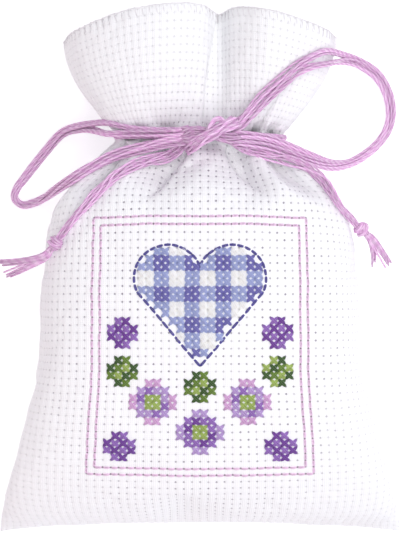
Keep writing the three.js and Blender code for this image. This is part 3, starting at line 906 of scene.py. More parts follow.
@dataclass(frozen=True)
class Drape:
    """How the cloth is let go: a stiff, slightly slack cotton over a full inside."""

    scale: float = 20.0
    frames: int = 14
    slack: float = 0.02
    pressure: float = 1.3
    gravity: float = 0.3
    stretch_stiffness: float = 80.0
    shear_stiffness: float = 32.0
    bend_stiffness: float = 60.0
    cloth_hold: float = 0.1
    seam_hold: float = 0.95
    gather_hold: float = 0.8
    frill_hold: float = 0.4
    bottom_hold: float = 0.9
    neck_spread: float = 0.22
    gather_rows: float = 0.7
    frill_rows: float = 0.6
    bottom_rows: float = 0.5
    seam_from: float = 0.8
    full_rows: tuple[float, float] = (4.8, 6.2)
    floor_gap: float = 0.008
    cloth_gap: float = 0.006
    most_move: float = 0.003

    def hold(self, row: float, share: float, form: PouchForm) -> float:
        """How firmly one point of the cloth keeps its place.

        Args:
            row: Its row number.
            share: Its place across the panel, from -1 to 1.
            form: The pouch's form.

        Returns:
            The weight of its pin, from 0 to 1.
        """
        above = row - form.neck_row
        neck = math.exp(-((above / self.neck_spread) ** 2))
        seam = self.seam_hold * float(smooth(abs(share), self.seam_from, 1.0))
        bottom = self.bottom_hold * float(1 - smooth(row, 0.0, self.bottom_rows))
        frill = self.frill_hold * float(smooth(row, form.neck_row, form.neck_row + self.frill_rows))
        gather = self.gather_hold * math.exp(-(((above + self.gather_rows) / self.gather_rows) ** 2))
        return max(self.cloth_hold, neck, gather, seam, bottom, frill)

    def swell(self, row: float) -> float:
        """How much the filling presses on a row of the cloth."""
        return float(1 - smooth(row, *self.full_rows))

    def dress(self, pouch: bpy.types.Object) -> None:
        """Gives a mesh the cloth's settings.

        Args:
            pouch: The simulated mesh.
        """
        cloth = pouch.modifiers.new("drape", "CLOTH")
        for key in ("tension_stiffness", "compression_stiffness"):
            setattr(cloth.settings, key, self.stretch_stiffness)
        for key in ("tension_damping", "compression_damping", "shear_damping"):
            setattr(cloth.settings, key, 10)
        settings = {
            "quality": 6, "mass": 0.1, "air_damping": 3, "bending_damping": 2, "shrink_min": -self.slack,
            "shear_stiffness": self.shear_stiffness, "bending_stiffness": self.bend_stiffness,
            "vertex_group_mass": "hold", "vertex_group_pressure": "swell",
            "use_pressure": True, "uniform_pressure_force": self.pressure,
        }
        touching = {
            "collision_quality": 3, "distance_min": self.floor_gap,
            "use_self_collision": True, "self_distance_min": self.cloth_gap, "self_friction": 2,
        }
        for target, values in ((cloth.settings, settings), (cloth.collision_settings, touching)):
            for key, value in values.items():
                setattr(target, key, value)
        cloth.settings.effector_weights.gravity = self.gravity
        cloth.point_cache.frame_end = self.frames + 1


@dataclass(frozen=True)
class Crease:
    """A fold line in the front panel, seen from above, in millimetres from its centre and bottom corners."""

    points: tuple[tuple[float, float], ...]
    depth: float
    left_bank: float
    right_bank: float
    fades: tuple[float, float] = (0.25, 1.0)
    bulge: float = 0.3
    bluntness: float = 0.15

    def sink(self, places: np.ndarray) -> np.ndarray:
        """How far the cloth sinks at each place.

        Args:
            places: Places on the panel, by row and column.

        Returns:
            Millimetres, below nought where the bank swells.
        """
        line = Spline([[x, y, 0.0] for x, y in self.points]).even(90)[:, :2]
        flat = places[..., :2].reshape(-1, 1, 2)
        far = np.linalg.norm(flat - line, axis=-1)
        near = far.argmin(axis=1)
        bank = np.where(flat[:, 0, 0] < line[near, 0], self.left_bank, self.right_bank)
        out = far.min(axis=1) / bank
        deep = np.exp(self.bluntness - np.hypot(out, self.bluntness))
        swell = self.bulge * out**2 * np.exp(1 - out**2)
        lasting = 1 - smooth(near / (len(line) - 1), *self.fades)
        return (self.depth * lasting * (deep - swell)).reshape(places.shape[:2])


@dataclass
class PouchCloth:
    """The two cloth panels: laid on the form, draped by simulation, creased, drawn shut, then woven."""

    CREASES = (
        Crease(
            ((-0.7, 73.5), (-2.2, 71.8), (-3.7, 69.9), (-6, 66.9), (-8, 64.1), (-11.2, 61.9), (-14.6, 60.4)),
            3.3, 2.6, 0.9, (0.35, 0.8),
        ),
        Crease(((4.7, 72.9), (5.05, 72), (5.4, 71)), 0.8, 0.45, 0.45, (0.6, 1.0)),
        Crease(((5.4, 72.4), (6.4, 70.1), (7.7, 67.9), (9.5, 65.6), (12.3, 63.4), (15, 61.7)), 1.8, 1.5, 2.8),
        Crease(((9.7, 72.4), (11.8, 70.5), (14, 68.6), (16.1, 66.7), (18.5, 64.1), (20.9, 61.1)),
               2.4, 1.8, 3.2),
        Crease(((0.6, 76.5), (0.4, 78.2), (0.6, 81.9), (1.1, 86.6), (1.9, 91.2), (2.6, 95), (3.2, 97.8)),
               0.8, 0.7, 2.2, (0.5, 1.6)),
        Crease(((11, 76), (13.5, 80), (17.5, 85.6), (21, 90)), 1.4, 2.2, 4.0, (0.4, 1.1)),
    )

    form: PouchForm
    sim_columns: int = 40
    sim_rows: int = 62
    weave: int = 4
    thickness: float = 0.75
    least_height: float = 0.25
    warp_groove: float = 0.09
    weft_groove: float = 0.03
    hole_depth: float = 0.06
    pack_rows: dict[Side, float] = by_side(0.08, 0.16)
    pack_depth: float = 4.4
    pack_pitch: float = 3.9
    pack_gap: float = 0.6
    pack_sides: tuple[float, float] = (0.6, 0.85)
    crease_sides: tuple[float, float] = (0.8, 0.95)
    thin_sides: tuple[float, float] = (0.85, 1.0)
    drape_settings: Drape = Drape()
    panels: dict[Side, np.ndarray] = field(default_factory=dict)

    @property
    def shares(self) -> np.ndarray:
        """Places of the columns across a panel, from -1 to 1."""
        return np.linspace(-1, 1, self.sim_columns + 1)

    @property
    def rows(self) -> np.ndarray:
        """The form's row numbers of the rows along a panel."""
        return self.form.row_at(np.linspace(0, self.form.squares_long, self.sim_rows + 1))

    def inside(self, low: float, high: float) -> np.ndarray:
        """How far inside a panel each column lies: 1 in the middle and 0 at the sides."""
        return 1 - smooth(np.abs(self.shares), low, high)

    def start(self) -> None:
        """Lays out both panels on the form, in metres."""
        across = np.linspace(-self.form.half_columns, self.form.half_columns, self.sim_columns + 1)
        along = np.linspace(0, self.form.squares_long, self.sim_rows + 1)
        for side in Side:
            grid = self.form.grid(side, across, along) * MM
            grid[..., 1] += self.form.bottom
            grid[..., 2] = np.maximum(grid[..., 2], self.thickness * MM)
            self.panels[side] = grid
        self.sew()

    def sew(self) -> None:
        """Joins the back panel to the front along the side and bottom seams."""
        front, back = self.panels[Side.FRONT], self.panels[Side.BACK]
        back[:, [0, -1]] = front[:, [0, -1]]
        back[0] = front[0]

    def drape(self) -> None:
        """Lets the cloth swell and crease by simulation, held at its neck, seams and edge."""
        settings = self.drape_settings
        front, back = self.panels[Side.FRONT], self.panels[Side.BACK]
        index = {Side.FRONT: np.arange(front[..., 0].size).reshape(front.shape[:2])}
        welded = index[Side.FRONT].copy()
        inner = welded[1:, 1:-1]
        inner[:] = front[..., 0].size + np.arange(inner.size).reshape(inner.shape)
        index[Side.BACK] = welded
        points = np.concatenate([front.reshape(-1, 3), back[1:, 1:-1].reshape(-1, 3)]) * settings.scale
        faces = np.concatenate([grid_quads(index[side], side) for side in Side])
        blank = bpy.data.materials.new("sim")
        pouch = mesh_object("sim_pouch", points, [faces], blank)
        corners = [[x, y, -settings.floor_gap] for x, y in ((-3, -3), (3, -3), (3, 3), (-3, 3))]
        floor = mesh_object("sim_floor", corners, [np.array([[0, 1, 2, 3]])], blank)
        floor.modifiers.new("rest", "COLLISION")
        self.weigh(pouch, index)
        settings.dress(pouch)
        scene = bpy.context.scene
        for frame in range(1, settings.frames + 2):
            scene.frame_set(frame)
        moved = np.empty(points.size, np.float32)
        pouch.evaluated_get(bpy.context.evaluated_depsgraph_get()).data.vertices.foreach_get("co", moved)
        moved = moved.reshape(-1, 3) / settings.scale
        scene.frame_set(1)
        for piece in (pouch, floor):
            bpy.data.meshes.remove(piece.data)
        for side in Side:
            shift = moved[index[side]] - self.panels[side]
            far = np.linalg.norm(shift, axis=-1, keepdims=True)
            capped = settings.most_move * np.tanh(far / settings.most_move)
            self.panels[side] = self.panels[side] + unit(shift) * capped

    def crease(self) -> None:
        """Sinks the fold lines into the front panel, on twice as fine a grid."""
        self.sim_rows *= 2
        self.sim_columns *= 2
        for side in Side:
            self.panels[side] = self.finer(side, self.sim_rows, self.sim_columns)
        front = self.panels[Side.FRONT]
        places = front / MM - np.array([0, self.form.bottom / MM, 0])
        depth = sum(fold.sink(places) for fold in self.CREASES)
        depth *= self.inside(*self.crease_sides)
        self.panels[Side.FRONT] = front - self.normals(front, Side.FRONT) * depth[..., None] * MM
        self.sew()

    def weigh(self, pouch: bpy.types.Object, index: dict[Side, np.ndarray]) -> None:
        """Gives the simulated mesh its pins and the pressure of its filling.

        Args:
            pouch: The simulated mesh.
            index: Vertex numbers of each panel's points.
        """
        hold, swell = pouch.vertex_groups.new(name="hold"), pouch.vertex_groups.new(name="swell")
        rows, shares = self.rows, self.shares
        for numbers in index.values():
            for row, line in zip(rows, numbers.tolist()):
                swell.add(line, self.drape_settings.swell(row), "REPLACE")
                for share, number in zip(shares, line):
                    hold.add([number], self.drape_settings.hold(row, share, self.form), "REPLACE")

    def thicken(self) -> None:
        """Moves both panels out from the inner to the outer face of the cloth, but for the seams."""
        free = np.outer(smooth(self.rows, 0, 1), self.inside(*self.thin_sides))[..., None]
        for side in Side:
            grid = self.panels[side]
            grid = grid + self.normals(grid, side) * free * self.thickness * MM
            grid[..., 2] = np.maximum(grid[..., 2], self.least_height * MM)
            self.panels[side] = grid
        self.sew()

    def draw_shut(self) -> None:
        """Packs the pleats of both panels into each other where the tie draws the neck together."""
        rows, inner = self.rows, self.inside(*self.pack_sides)
        far = rows - rows[np.abs(rows - self.form.neck_row).argmin()]
        for side in Side:
            grid = self.panels[side]
            turn = FULL_TURN * grid[..., 0] / (self.pack_pitch * MM)
            packed = self.form.neck_height + self.pack_depth * np.cos(turn) + side.value * self.pack_gap
            held = np.outer(np.exp(-((far / self.pack_rows[side]) ** 2)), inner)
            grid[..., 2] += held * (packed * MM - grid[..., 2])

    def refined(self, side: Side) -> tuple[np.ndarray, np.ndarray, np.ndarray]:
        """One panel at the fineness of the weave.

        Args:
            side: The panel.

        Returns:
            Its points, and the squares across and along of its columns and rows.
        """
        columns = 2 * self.form.half_columns * self.weave
        rows = int(round(self.form.squares_long * self.weave))
        along = np.linspace(0, self.form.squares_long, rows + 1)
        across = np.linspace(-self.form.half_columns, self.form.half_columns, columns + 1)
        return self.finer(side, rows, columns), across, along

    def finer(self, side: Side, rows: int, columns: int) -> np.ndarray:
        """One panel's points in that many steps along and across."""
        return self.stretched(self.stretched(self.panels[side], 0, rows), 1, columns)

    @staticmethod
    def stretched(grid: np.ndarray, axis: int, count: int) -> np.ndarray:
        """A grid of points with more, smoothly placed, along one axis.

        Args:
            grid: The points.
            axis: The axis to refine.
            count: Steps along it.

        Returns:
            The finer grid.
        """
        grid = np.moveaxis(grid, axis, 0)
        wide = np.concatenate([[2 * grid[0] - grid[1]], grid, [2 * grid[-1] - grid[-2]]])
        place = np.linspace(0, len(grid) - 1, count + 1)
        k = np.minimum(place.astype(int), len(grid) - 2)
        w = (place - k).reshape(-1, 1, 1)
        a, b, c, d = (wide[k + j] for j in range(4))
        curve = b + 0.5 * w * (c - a + w * (2 * a - 5 * b + 4 * c - d + w * (3 * (b - c) + d - a)))
        return np.moveaxis(curve, 0, axis)

    @staticmethod
    def normals(grid: np.ndarray, side: Side) -> np.ndarray:
        """Outward directions at the points of a grid."""
        return unit(np.cross(np.gradient(grid, axis=1), np.gradient(grid, axis=0))) * side.value

    def build(self, side: Side, name: str, material: bpy.types.Material) -> bpy.types.Object:
        """Makes one panel.

        Args:
            side: The panel.
            name: The object's name.
            material: The cloth's material.

        Returns:
            The panel.
        """
        grid, across, along = self.refined(side)
        column = np.arange(len(across)) % self.weave == 0
        row = np.arange(len(along)) % self.weave == 0
        depth = self.warp_groove * column + (self.weft_groove * row)[:, None]
        depth = depth + self.hole_depth * np.outer(row, column)
        woven = grid + self.normals(grid, side) * (self.warp_groove - depth)[..., None] * MM
        quads = grid_quads(np.arange(woven[..., 0].size).reshape(woven.shape[:2]), side)
        piece = mesh_object(name, woven.reshape(-1, 3), [quads], material)
        u, v = np.meshgrid(across, along)
        put_map(piece, "squares", np.stack([u, v], -1).reshape(-1, 2)[quads.ravel()])
        return piece

    def place(self, across: np.ndarray, along: np.ndarray,
              side: Side = Side.FRONT) -> tuple[np.ndarray, np.ndarray]:
        """Points on a panel and the directions out of it.

        Args:
            across: Squares from the centre line.
            along: Squares from the bottom seam.
            side: The panel.

        Returns:
            Points in metres and outward directions.
        """
        grid = self.panels[side]
        across, along = np.broadcast_arrays(np.asarray(across, float), np.asarray(along, float))
        x = (across / self.form.half_columns + 1) / 2 * self.sim_columns
        y = along / self.form.squares_long * self.sim_rows
        i = np.clip(y.astype(int), 0, self.sim_rows - 1)
        j = np.clip(x.astype(int), 0, self.sim_columns - 1)
        a, b = (y - i)[..., None], (x - j)[..., None]

        def between(values: np.ndarray) -> np.ndarray:
            """Values between the four nearest points of the grid.

            Args:
                values: One value for each point of the grid.

            Returns:
                One value for each place.
            """
            near = values[i, j] * (1 - b) + values[i, j + 1] * b
            far = values[i + 1, j] * (1 - b) + values[i + 1, j + 1] * b
            return near * (1 - a) + far * a

        return between(grid), unit(between(self.normals(grid, side)))

    def surface(self) -> BVHTree:
        """Both panels as a surface that can be felt for."""
        points, faces = [], []
        for side in Side:
            grid = self.panels[side]
            numbers = len(points) + np.arange(grid[..., 0].size).reshape(grid.shape[:2])
            points += grid.reshape(-1, 3).tolist()
            faces += grid_quads(numbers, side).tolist()
        return BVHTree.FromPolygons(points, faces)


@dataclass
class Filling:
    """The dried lavender: a grainy mass that fills the draped cloth from just inside it."""

    cloth: PouchCloth
    inset: float = 1.65
    grain: float = 0.35
    lowest_row: float = 0.9
    highest_row: float = 5.9
    side_share: float = 0.8
    columns: int = 60
    rows: int = 72
    rim: float = 0.3
    fill: float = 0.9
    seed: int = 3

    def walls(self) -> dict[Side, np.ndarray]:
        """The front and back of the mass, drawn together all round their rim."""
        form, rng = self.cloth.form, np.random.default_rng(self.seed)
        rows = np.linspace(self.lowest_row, self.highest_row, self.rows + 1)
        across = np.linspace(-1, 1, self.columns + 1) * self.side_share * form.half_columns
        u, v = np.meshgrid(across, np.interp(rows, form.numbers, form.reach))
        walls = {}
        for side in Side:
            wall, out = self.cloth.place(u, v, side)
            walls[side] = wall - out * (self.inset + self.grain * rng.random((*u.shape, 1))) * MM
        middle = sum(walls.values()) / 2
        from_rim = [np.sqrt(smooth(1 - np.abs(np.linspace(-1, 1, n + 1)), 0, self.rim))
                    for n in (self.rows, self.columns)]
        return {side: middle + (wall - middle) * np.outer(*from_rim)[..., None]
                for side, wall in walls.items()}

    def build(self, material: bpy.types.Material) -> bpy.types.Object:
        """Makes the mass.

        Args:
            material: The dried flowers.

        Returns:
            The finished piece.
        """
        walls = self.walls()
        over = np.arange((self.rows + 1) * (self.columns + 1)).reshape(self.rows + 1, -1)
        under = over.copy()
        under[1:-1, 1:-1] = over.size + np.arange(under[1:-1, 1:-1].size).reshape(self.rows - 1, -1)
        inner = walls[Side.BACK][1:-1, 1:-1]
        points = np.concatenate([walls[Side.FRONT].reshape(-1, 3), inner.reshape(-1, 3)])
        quads = np.concatenate([grid_quads(over, Side.FRONT), grid_quads(under, Side.BACK)])
        mass = mesh_object("lavender_filling_mass", points, [quads], material)
        settle(mass, "dried_lavender", "lavender_filling")
        return mass


class Dye(Enum):
    """Colours of the embroidery cotton."""

    DEEP_BLUE = srgb(122, 118, 188)
    MID_BLUE = srgb(168, 178, 222)
    WHITE = srgb(255, 255, 252)
    VIOLET = srgb(124, 76, 164)
    HEATHER = srgb(158, 118, 196)
    LILAC = srgb(194, 166, 220)
    PINK = srgb(222, 178, 222)
    MAUVE = srgb(245, 214, 240)
    OUTLINE = srgb(92, 86, 160)
    DARK_GREEN = srgb(72, 102, 56)
    LEAF = srgb(112, 142, 62)
    LIGHT_LEAF = srgb(166, 190, 102)


DyeAt = Callable[[int, int], Dye | None]


@dataclass
class Embroidery:
    """Cross stitch and back stitch on the front, counted in squares from the middle of its border."""

    cloth: PouchCloth
    material: bpy.types.Material
    centre: float = 30.0
    cross_strand: float = 0.18
    line_strand: float = 0.13
    under_lift: float = 0.16
    over_lift: float = 0.34
    line_lift: float = 0.14
    heart_lobe: float = 4.1
    heart_lobe_row: float = 9.0
    heart_tip: float = -2.0
    heart_width: float = 1.98
    outline_gap: float = 0.3
    border_half: tuple[int, int] = (14, 17)
    blossom_reach: float = 2.6
    bud_reach: float = 2.0
    leaf_reach: float = 2.2
    motif_half: int = 3
    eye: float = 0.8
    rings: tuple[float, float] = (1.7, 2.2)
    # brightness of the stitch ends: painted shade where they go down into the holes
    cross_end_shade: float = 0.75
    line_end_shade: float = 0.3
    strand_sides: int = 5
    uneven: float = 0.04
    seed: int = 5
    CHECK = (Dye.WHITE, Dye.MID_BLUE, Dye.DEEP_BLUE)
    GREENS = (Dye.DARK_GREEN, Dye.LEAF, Dye.LIGHT_LEAF)

    def __post_init__(self) -> None:
        """Starts the small differences between stitches."""
        self.rng = np.random.default_rng(self.seed)

    def leg(self, batch: TubeBatch, start: tuple[float, float], end: tuple[float, float], lift: float,
            strand: float, dye: Dye, ends: float) -> None:
        """One slanting or straight stitch of two strands.

        Args:
            batch: Where its strands go.
            start: Column and row of the hole it comes up through.
            end: Column and row of the hole it goes down through.
            lift: Millimetres it stands off the cloth in the middle.
            strand: Millimetres of a strand's radius.
            dye: Its colour.
            ends: Brightness of its ends, painted shade where they go down into their holes.
        """
        share = np.array([0.03, 0.16, 0.35, 0.65, 0.84, 0.97])
        columns = start[0] + (end[0] - start[0]) * share
        rows = start[1] + (end[1] - start[1]) * share
        path, normal = self.cloth.place(columns, rows + self.centre)
        beside = unit(np.cross(unit(path[-1] - path[0]), normal))
        rise = np.array([-0.3, 0.45, 1.0, 1.0, 0.45, -0.3])[:, None] * lift * MM
        spread = np.array([0.45, 0.8, 1.0, 1.0, 0.8, 0.45])[:, None] * strand * MM
        thick = np.array([0.75, 0.95, 1, 1, 0.95, 0.75]) * strand * MM
        # painted shade on the ends of each stitch, where they go down into the holes
        shade = np.array([ends, 1, 1, 1, 1, ends])[:, None]
        for hand in (-1, 1):
            dye_with_end_shade = np.minimum(np.array(dye.value) * (1 + self.rng.normal(0, self.uneven)), 1.0) * shade
            laid = path + normal * rise + beside * hand * spread
            batch.add(laid, thick, self.strand_sides, 1.0, dye_with_end_shade, normal)

    def cross(self, batch: TubeBatch, column: int, row: int, dye: Dye) -> None:
        """One cross stitch over a square."""
        for start, end, lift in ((0, 1, self.under_lift), (1, 0, self.over_lift)):
            self.leg(batch, (column + start, row), (column + end, row + 1), lift, self.cross_strand, dye,
                     self.cross_end_shade)

    def line(self, batch: TubeBatch, corners: list[tuple[float, float]], dye: Dye) -> None:
        """A closed line of back stitch, about one square at a time.

        Args:
            batch: Where the stitches go.
            corners: Columns and rows of its corners.
            dye: Its colour.
        """
        for start, end in zip(corners, corners[1:] + corners[:1]):
            count = max(1, round(max(abs(end[0] - start[0]), abs(end[1] - start[1]))))
            holes = np.linspace(start, end, count + 1)
            for a, b in zip(holes, holes[1:]):
                self.leg(batch, tuple(a), tuple(b), self.line_lift, self.line_strand, dye, self.line_end_shade)

    def fill(self, batch: TubeBatch, columns: range, rows: range, dye_at: DyeAt) -> None:
        """Works a cross stitch on every square that has a colour.

        Args:
            batch: Where the stitches go.
            columns: The columns to go through.
            rows: The rows to go through.
            dye_at: Gives a square's colour, or None where it stays bare.
        """
        for i in columns:
            for j in rows:
                dye = dye_at(i, j)
                if dye is not None:
                    self.cross(batch, i, j, dye)

    def motif(self, node: str, column: int, row: int, dye_at: DyeAt, slot: str) -> None:
        """A small patch of cross stitch.

        Args:
            node: The node that it stands for.
            column: Column of its middle.
            row: Row of its middle.
            dye_at: Gives a square's colour, or None where it stays bare.
            slot: The record's material slot.
        """
        batch, half = TubeBatch(), self.motif_half
        self.fill(batch, range(column - half, column + half), range(row - half, row + half), dye_at)
        batch.build(node, "stitches", slot, self.material)

    def build(self) -> None:
        """Works every motif."""
        columns, rows = self.border_half
        self.border("border_outer_line", columns, rows)
        self.border("border_inner_line", columns - 1, rows - 1)
        self.heart()
        violet, lilac = (Dye.VIOLET, Dye.HEATHER, Dye.LILAC), (Dye.HEATHER, Dye.LILAC, Dye.PINK)
        self.flower("middle_blossom", 0, -11, self.blossom_reach, violet, "violet_cotton")
        self.leaf("middle_leaf", 0, -5)
        for hand, sign in (("left", -1), ("right", 1)):
            self.flower(f"{hand}_blossom", 6 * sign, -7, self.blossom_reach, lilac, "lilac_cotton")
            for bud, row in (("upper", 2), ("lower", -13)):
                self.flower(f"{hand}_{bud}_bud", 10 * sign, row, self.bud_reach, violet, "violet_cotton")
            self.leaf(f"{hand}_leaf", 10 * sign, -3)

    def border(self, node: str, columns: int, rows: int) -> None:
        """One line of the border.

        Args:
            node: The node that it stands for.
            columns: Squares from the border's middle to its sides.
            rows: Squares from the border's middle to its top and bottom.
        """
        batch = TubeBatch()
        corners = [(-columns, -rows), (columns, -rows), (columns, rows), (-columns, rows)]
        self.line(batch, corners, Dye.MAUVE)
        batch.build(node, "stitches", "mauve_cotton", self.material)

    def heart_dye(self, column: int, row: int) -> Dye | None:
        """A square's colour in the heart's gingham check.

        Args:
            column: The square's column.
            row: The square's row.

        Returns:
            The colour, or None outside the heart.
        """
        x, y = abs(column + 0.5), row + 0.5
        high = (y - self.heart_tip) / (self.heart_lobe_row - self.heart_tip)
        in_lobe = math.hypot(x - self.heart_lobe, y - self.heart_lobe_row) < self.heart_lobe
        in_point = y < self.heart_lobe_row and x < self.heart_width * self.heart_lobe * high
        return self.CHECK[(column // 2) % 2 + (row // 2) % 2] if in_lobe or in_point else None

    def heart(self) -> None:
        """The heart, filled with a gingham check and outlined in back stitch."""
        batch = TubeBatch()
        self.fill(batch, range(-9, 9), range(-3, 14), self.heart_dye)
        reach = self.heart_lobe + self.outline_gap
        turn = np.radians(np.arange(160, -30, -13))
        lobe = [(self.heart_lobe + reach * math.cos(a), self.heart_lobe_row + reach * math.sin(a))
                for a in turn]
        other = [(-x, y) for x, y in reversed(lobe)]
        self.line(batch, [*lobe, (0.0, self.heart_tip - self.outline_gap), *other], Dye.OUTLINE)
        batch.build("heart_patch", "stitches", "blue_cotton", self.material)

    def flower(self, node: str, column: int, row: int, reach: float, dyes: tuple[Dye, Dye, Dye],
               slot: str) -> None:
        """A round blossom, deeper towards its middle.

        Args:
            node: The node that it stands for.
            column: Column of its middle.
            row: Row of its middle.
            reach: Squares from its middle to its rim.
            dyes: Its colours from the middle outwards.
            slot: The record's material slot.
        """
        core, ring = self.rings

        def dye_at(i: int, j: int) -> Dye | None:
            """The colour of a square.

            Args:
                i: Its column.
                j: Its row.

            Returns:
                The colour, or None outside the blossom.
            """
            far = math.hypot(i + 0.5 - column, j + 0.5 - row)
            if far >= reach:
                return None
            if far < self.eye and reach > self.bud_reach:
                return Dye.LIGHT_LEAF
            return dyes[0 if far < core and (i + j) % 2 else 1 if far < ring else 2]

        self.motif(node, column, row, dye_at, slot)

    def leaf(self, node: str, column: int, row: int) -> None:
        """A diamond leaf in three greens."""

        def dye_at(i: int, j: int) -> Dye | None:
            """The colour of a square, or None outside the leaf."""
            inside = abs(i + 0.5 - column) + abs(j + 0.5 - row) < self.leaf_reach
            return self.GREENS[(i + 2 * j) % 3] if inside else None

        self.motif(node, column, row, dye_at, "green_cotton")


@dataclass(frozen=True)
class Lay:
    """How the strands of a cord lie together: a flat bundle in a slow, uneven twist, sizes in millimetres."""

    strands: int
    radius: float
    widths: tuple[float, ...]
    height: float
    turns: float
    parting: tuple[float, float, float] = (0.5, 0.05, 0.0)
    # brightness of all its strands: above 1 is painted light, below 1 painted shade
    tone: float = 1.0
    SPIRAL = 2.4
    WAVES = ((0.35, 11), (0.15, 31))

    def offsets(self, number: int, t: np.ndarray, waves: np.ndarray) -> tuple[np.ndarray, np.ndarray]:
        """Where one strand lies in the bundle.

        Args:
            number: The strand's number.
            t: Shares of the cord's length.
            waves: Starts of its small waves.

        Returns:
            Millimetres sideways and upwards from the centre line.
        """
        far = math.sqrt((number + 0.5) / self.strands)
        lie = self.SPIRAL * number
        turn = lie + FULL_TURN * self.turns * t
        for (size, rate), start in zip(self.WAVES, waves):
            turn = turn + size * np.sin(rate * t + start)
        wide = np.interp(t, np.linspace(0, 1, len(self.widths)), self.widths)
        where, length, gap = self.parting
        hand = math.copysign(1.0, math.cos(lie + FULL_TURN * self.turns * where))
        apart = hand * gap * np.exp(-(((t - where) / length) ** 2))
        return wide * far * np.cos(turn) + apart, self.height * far * np.sin(turn)


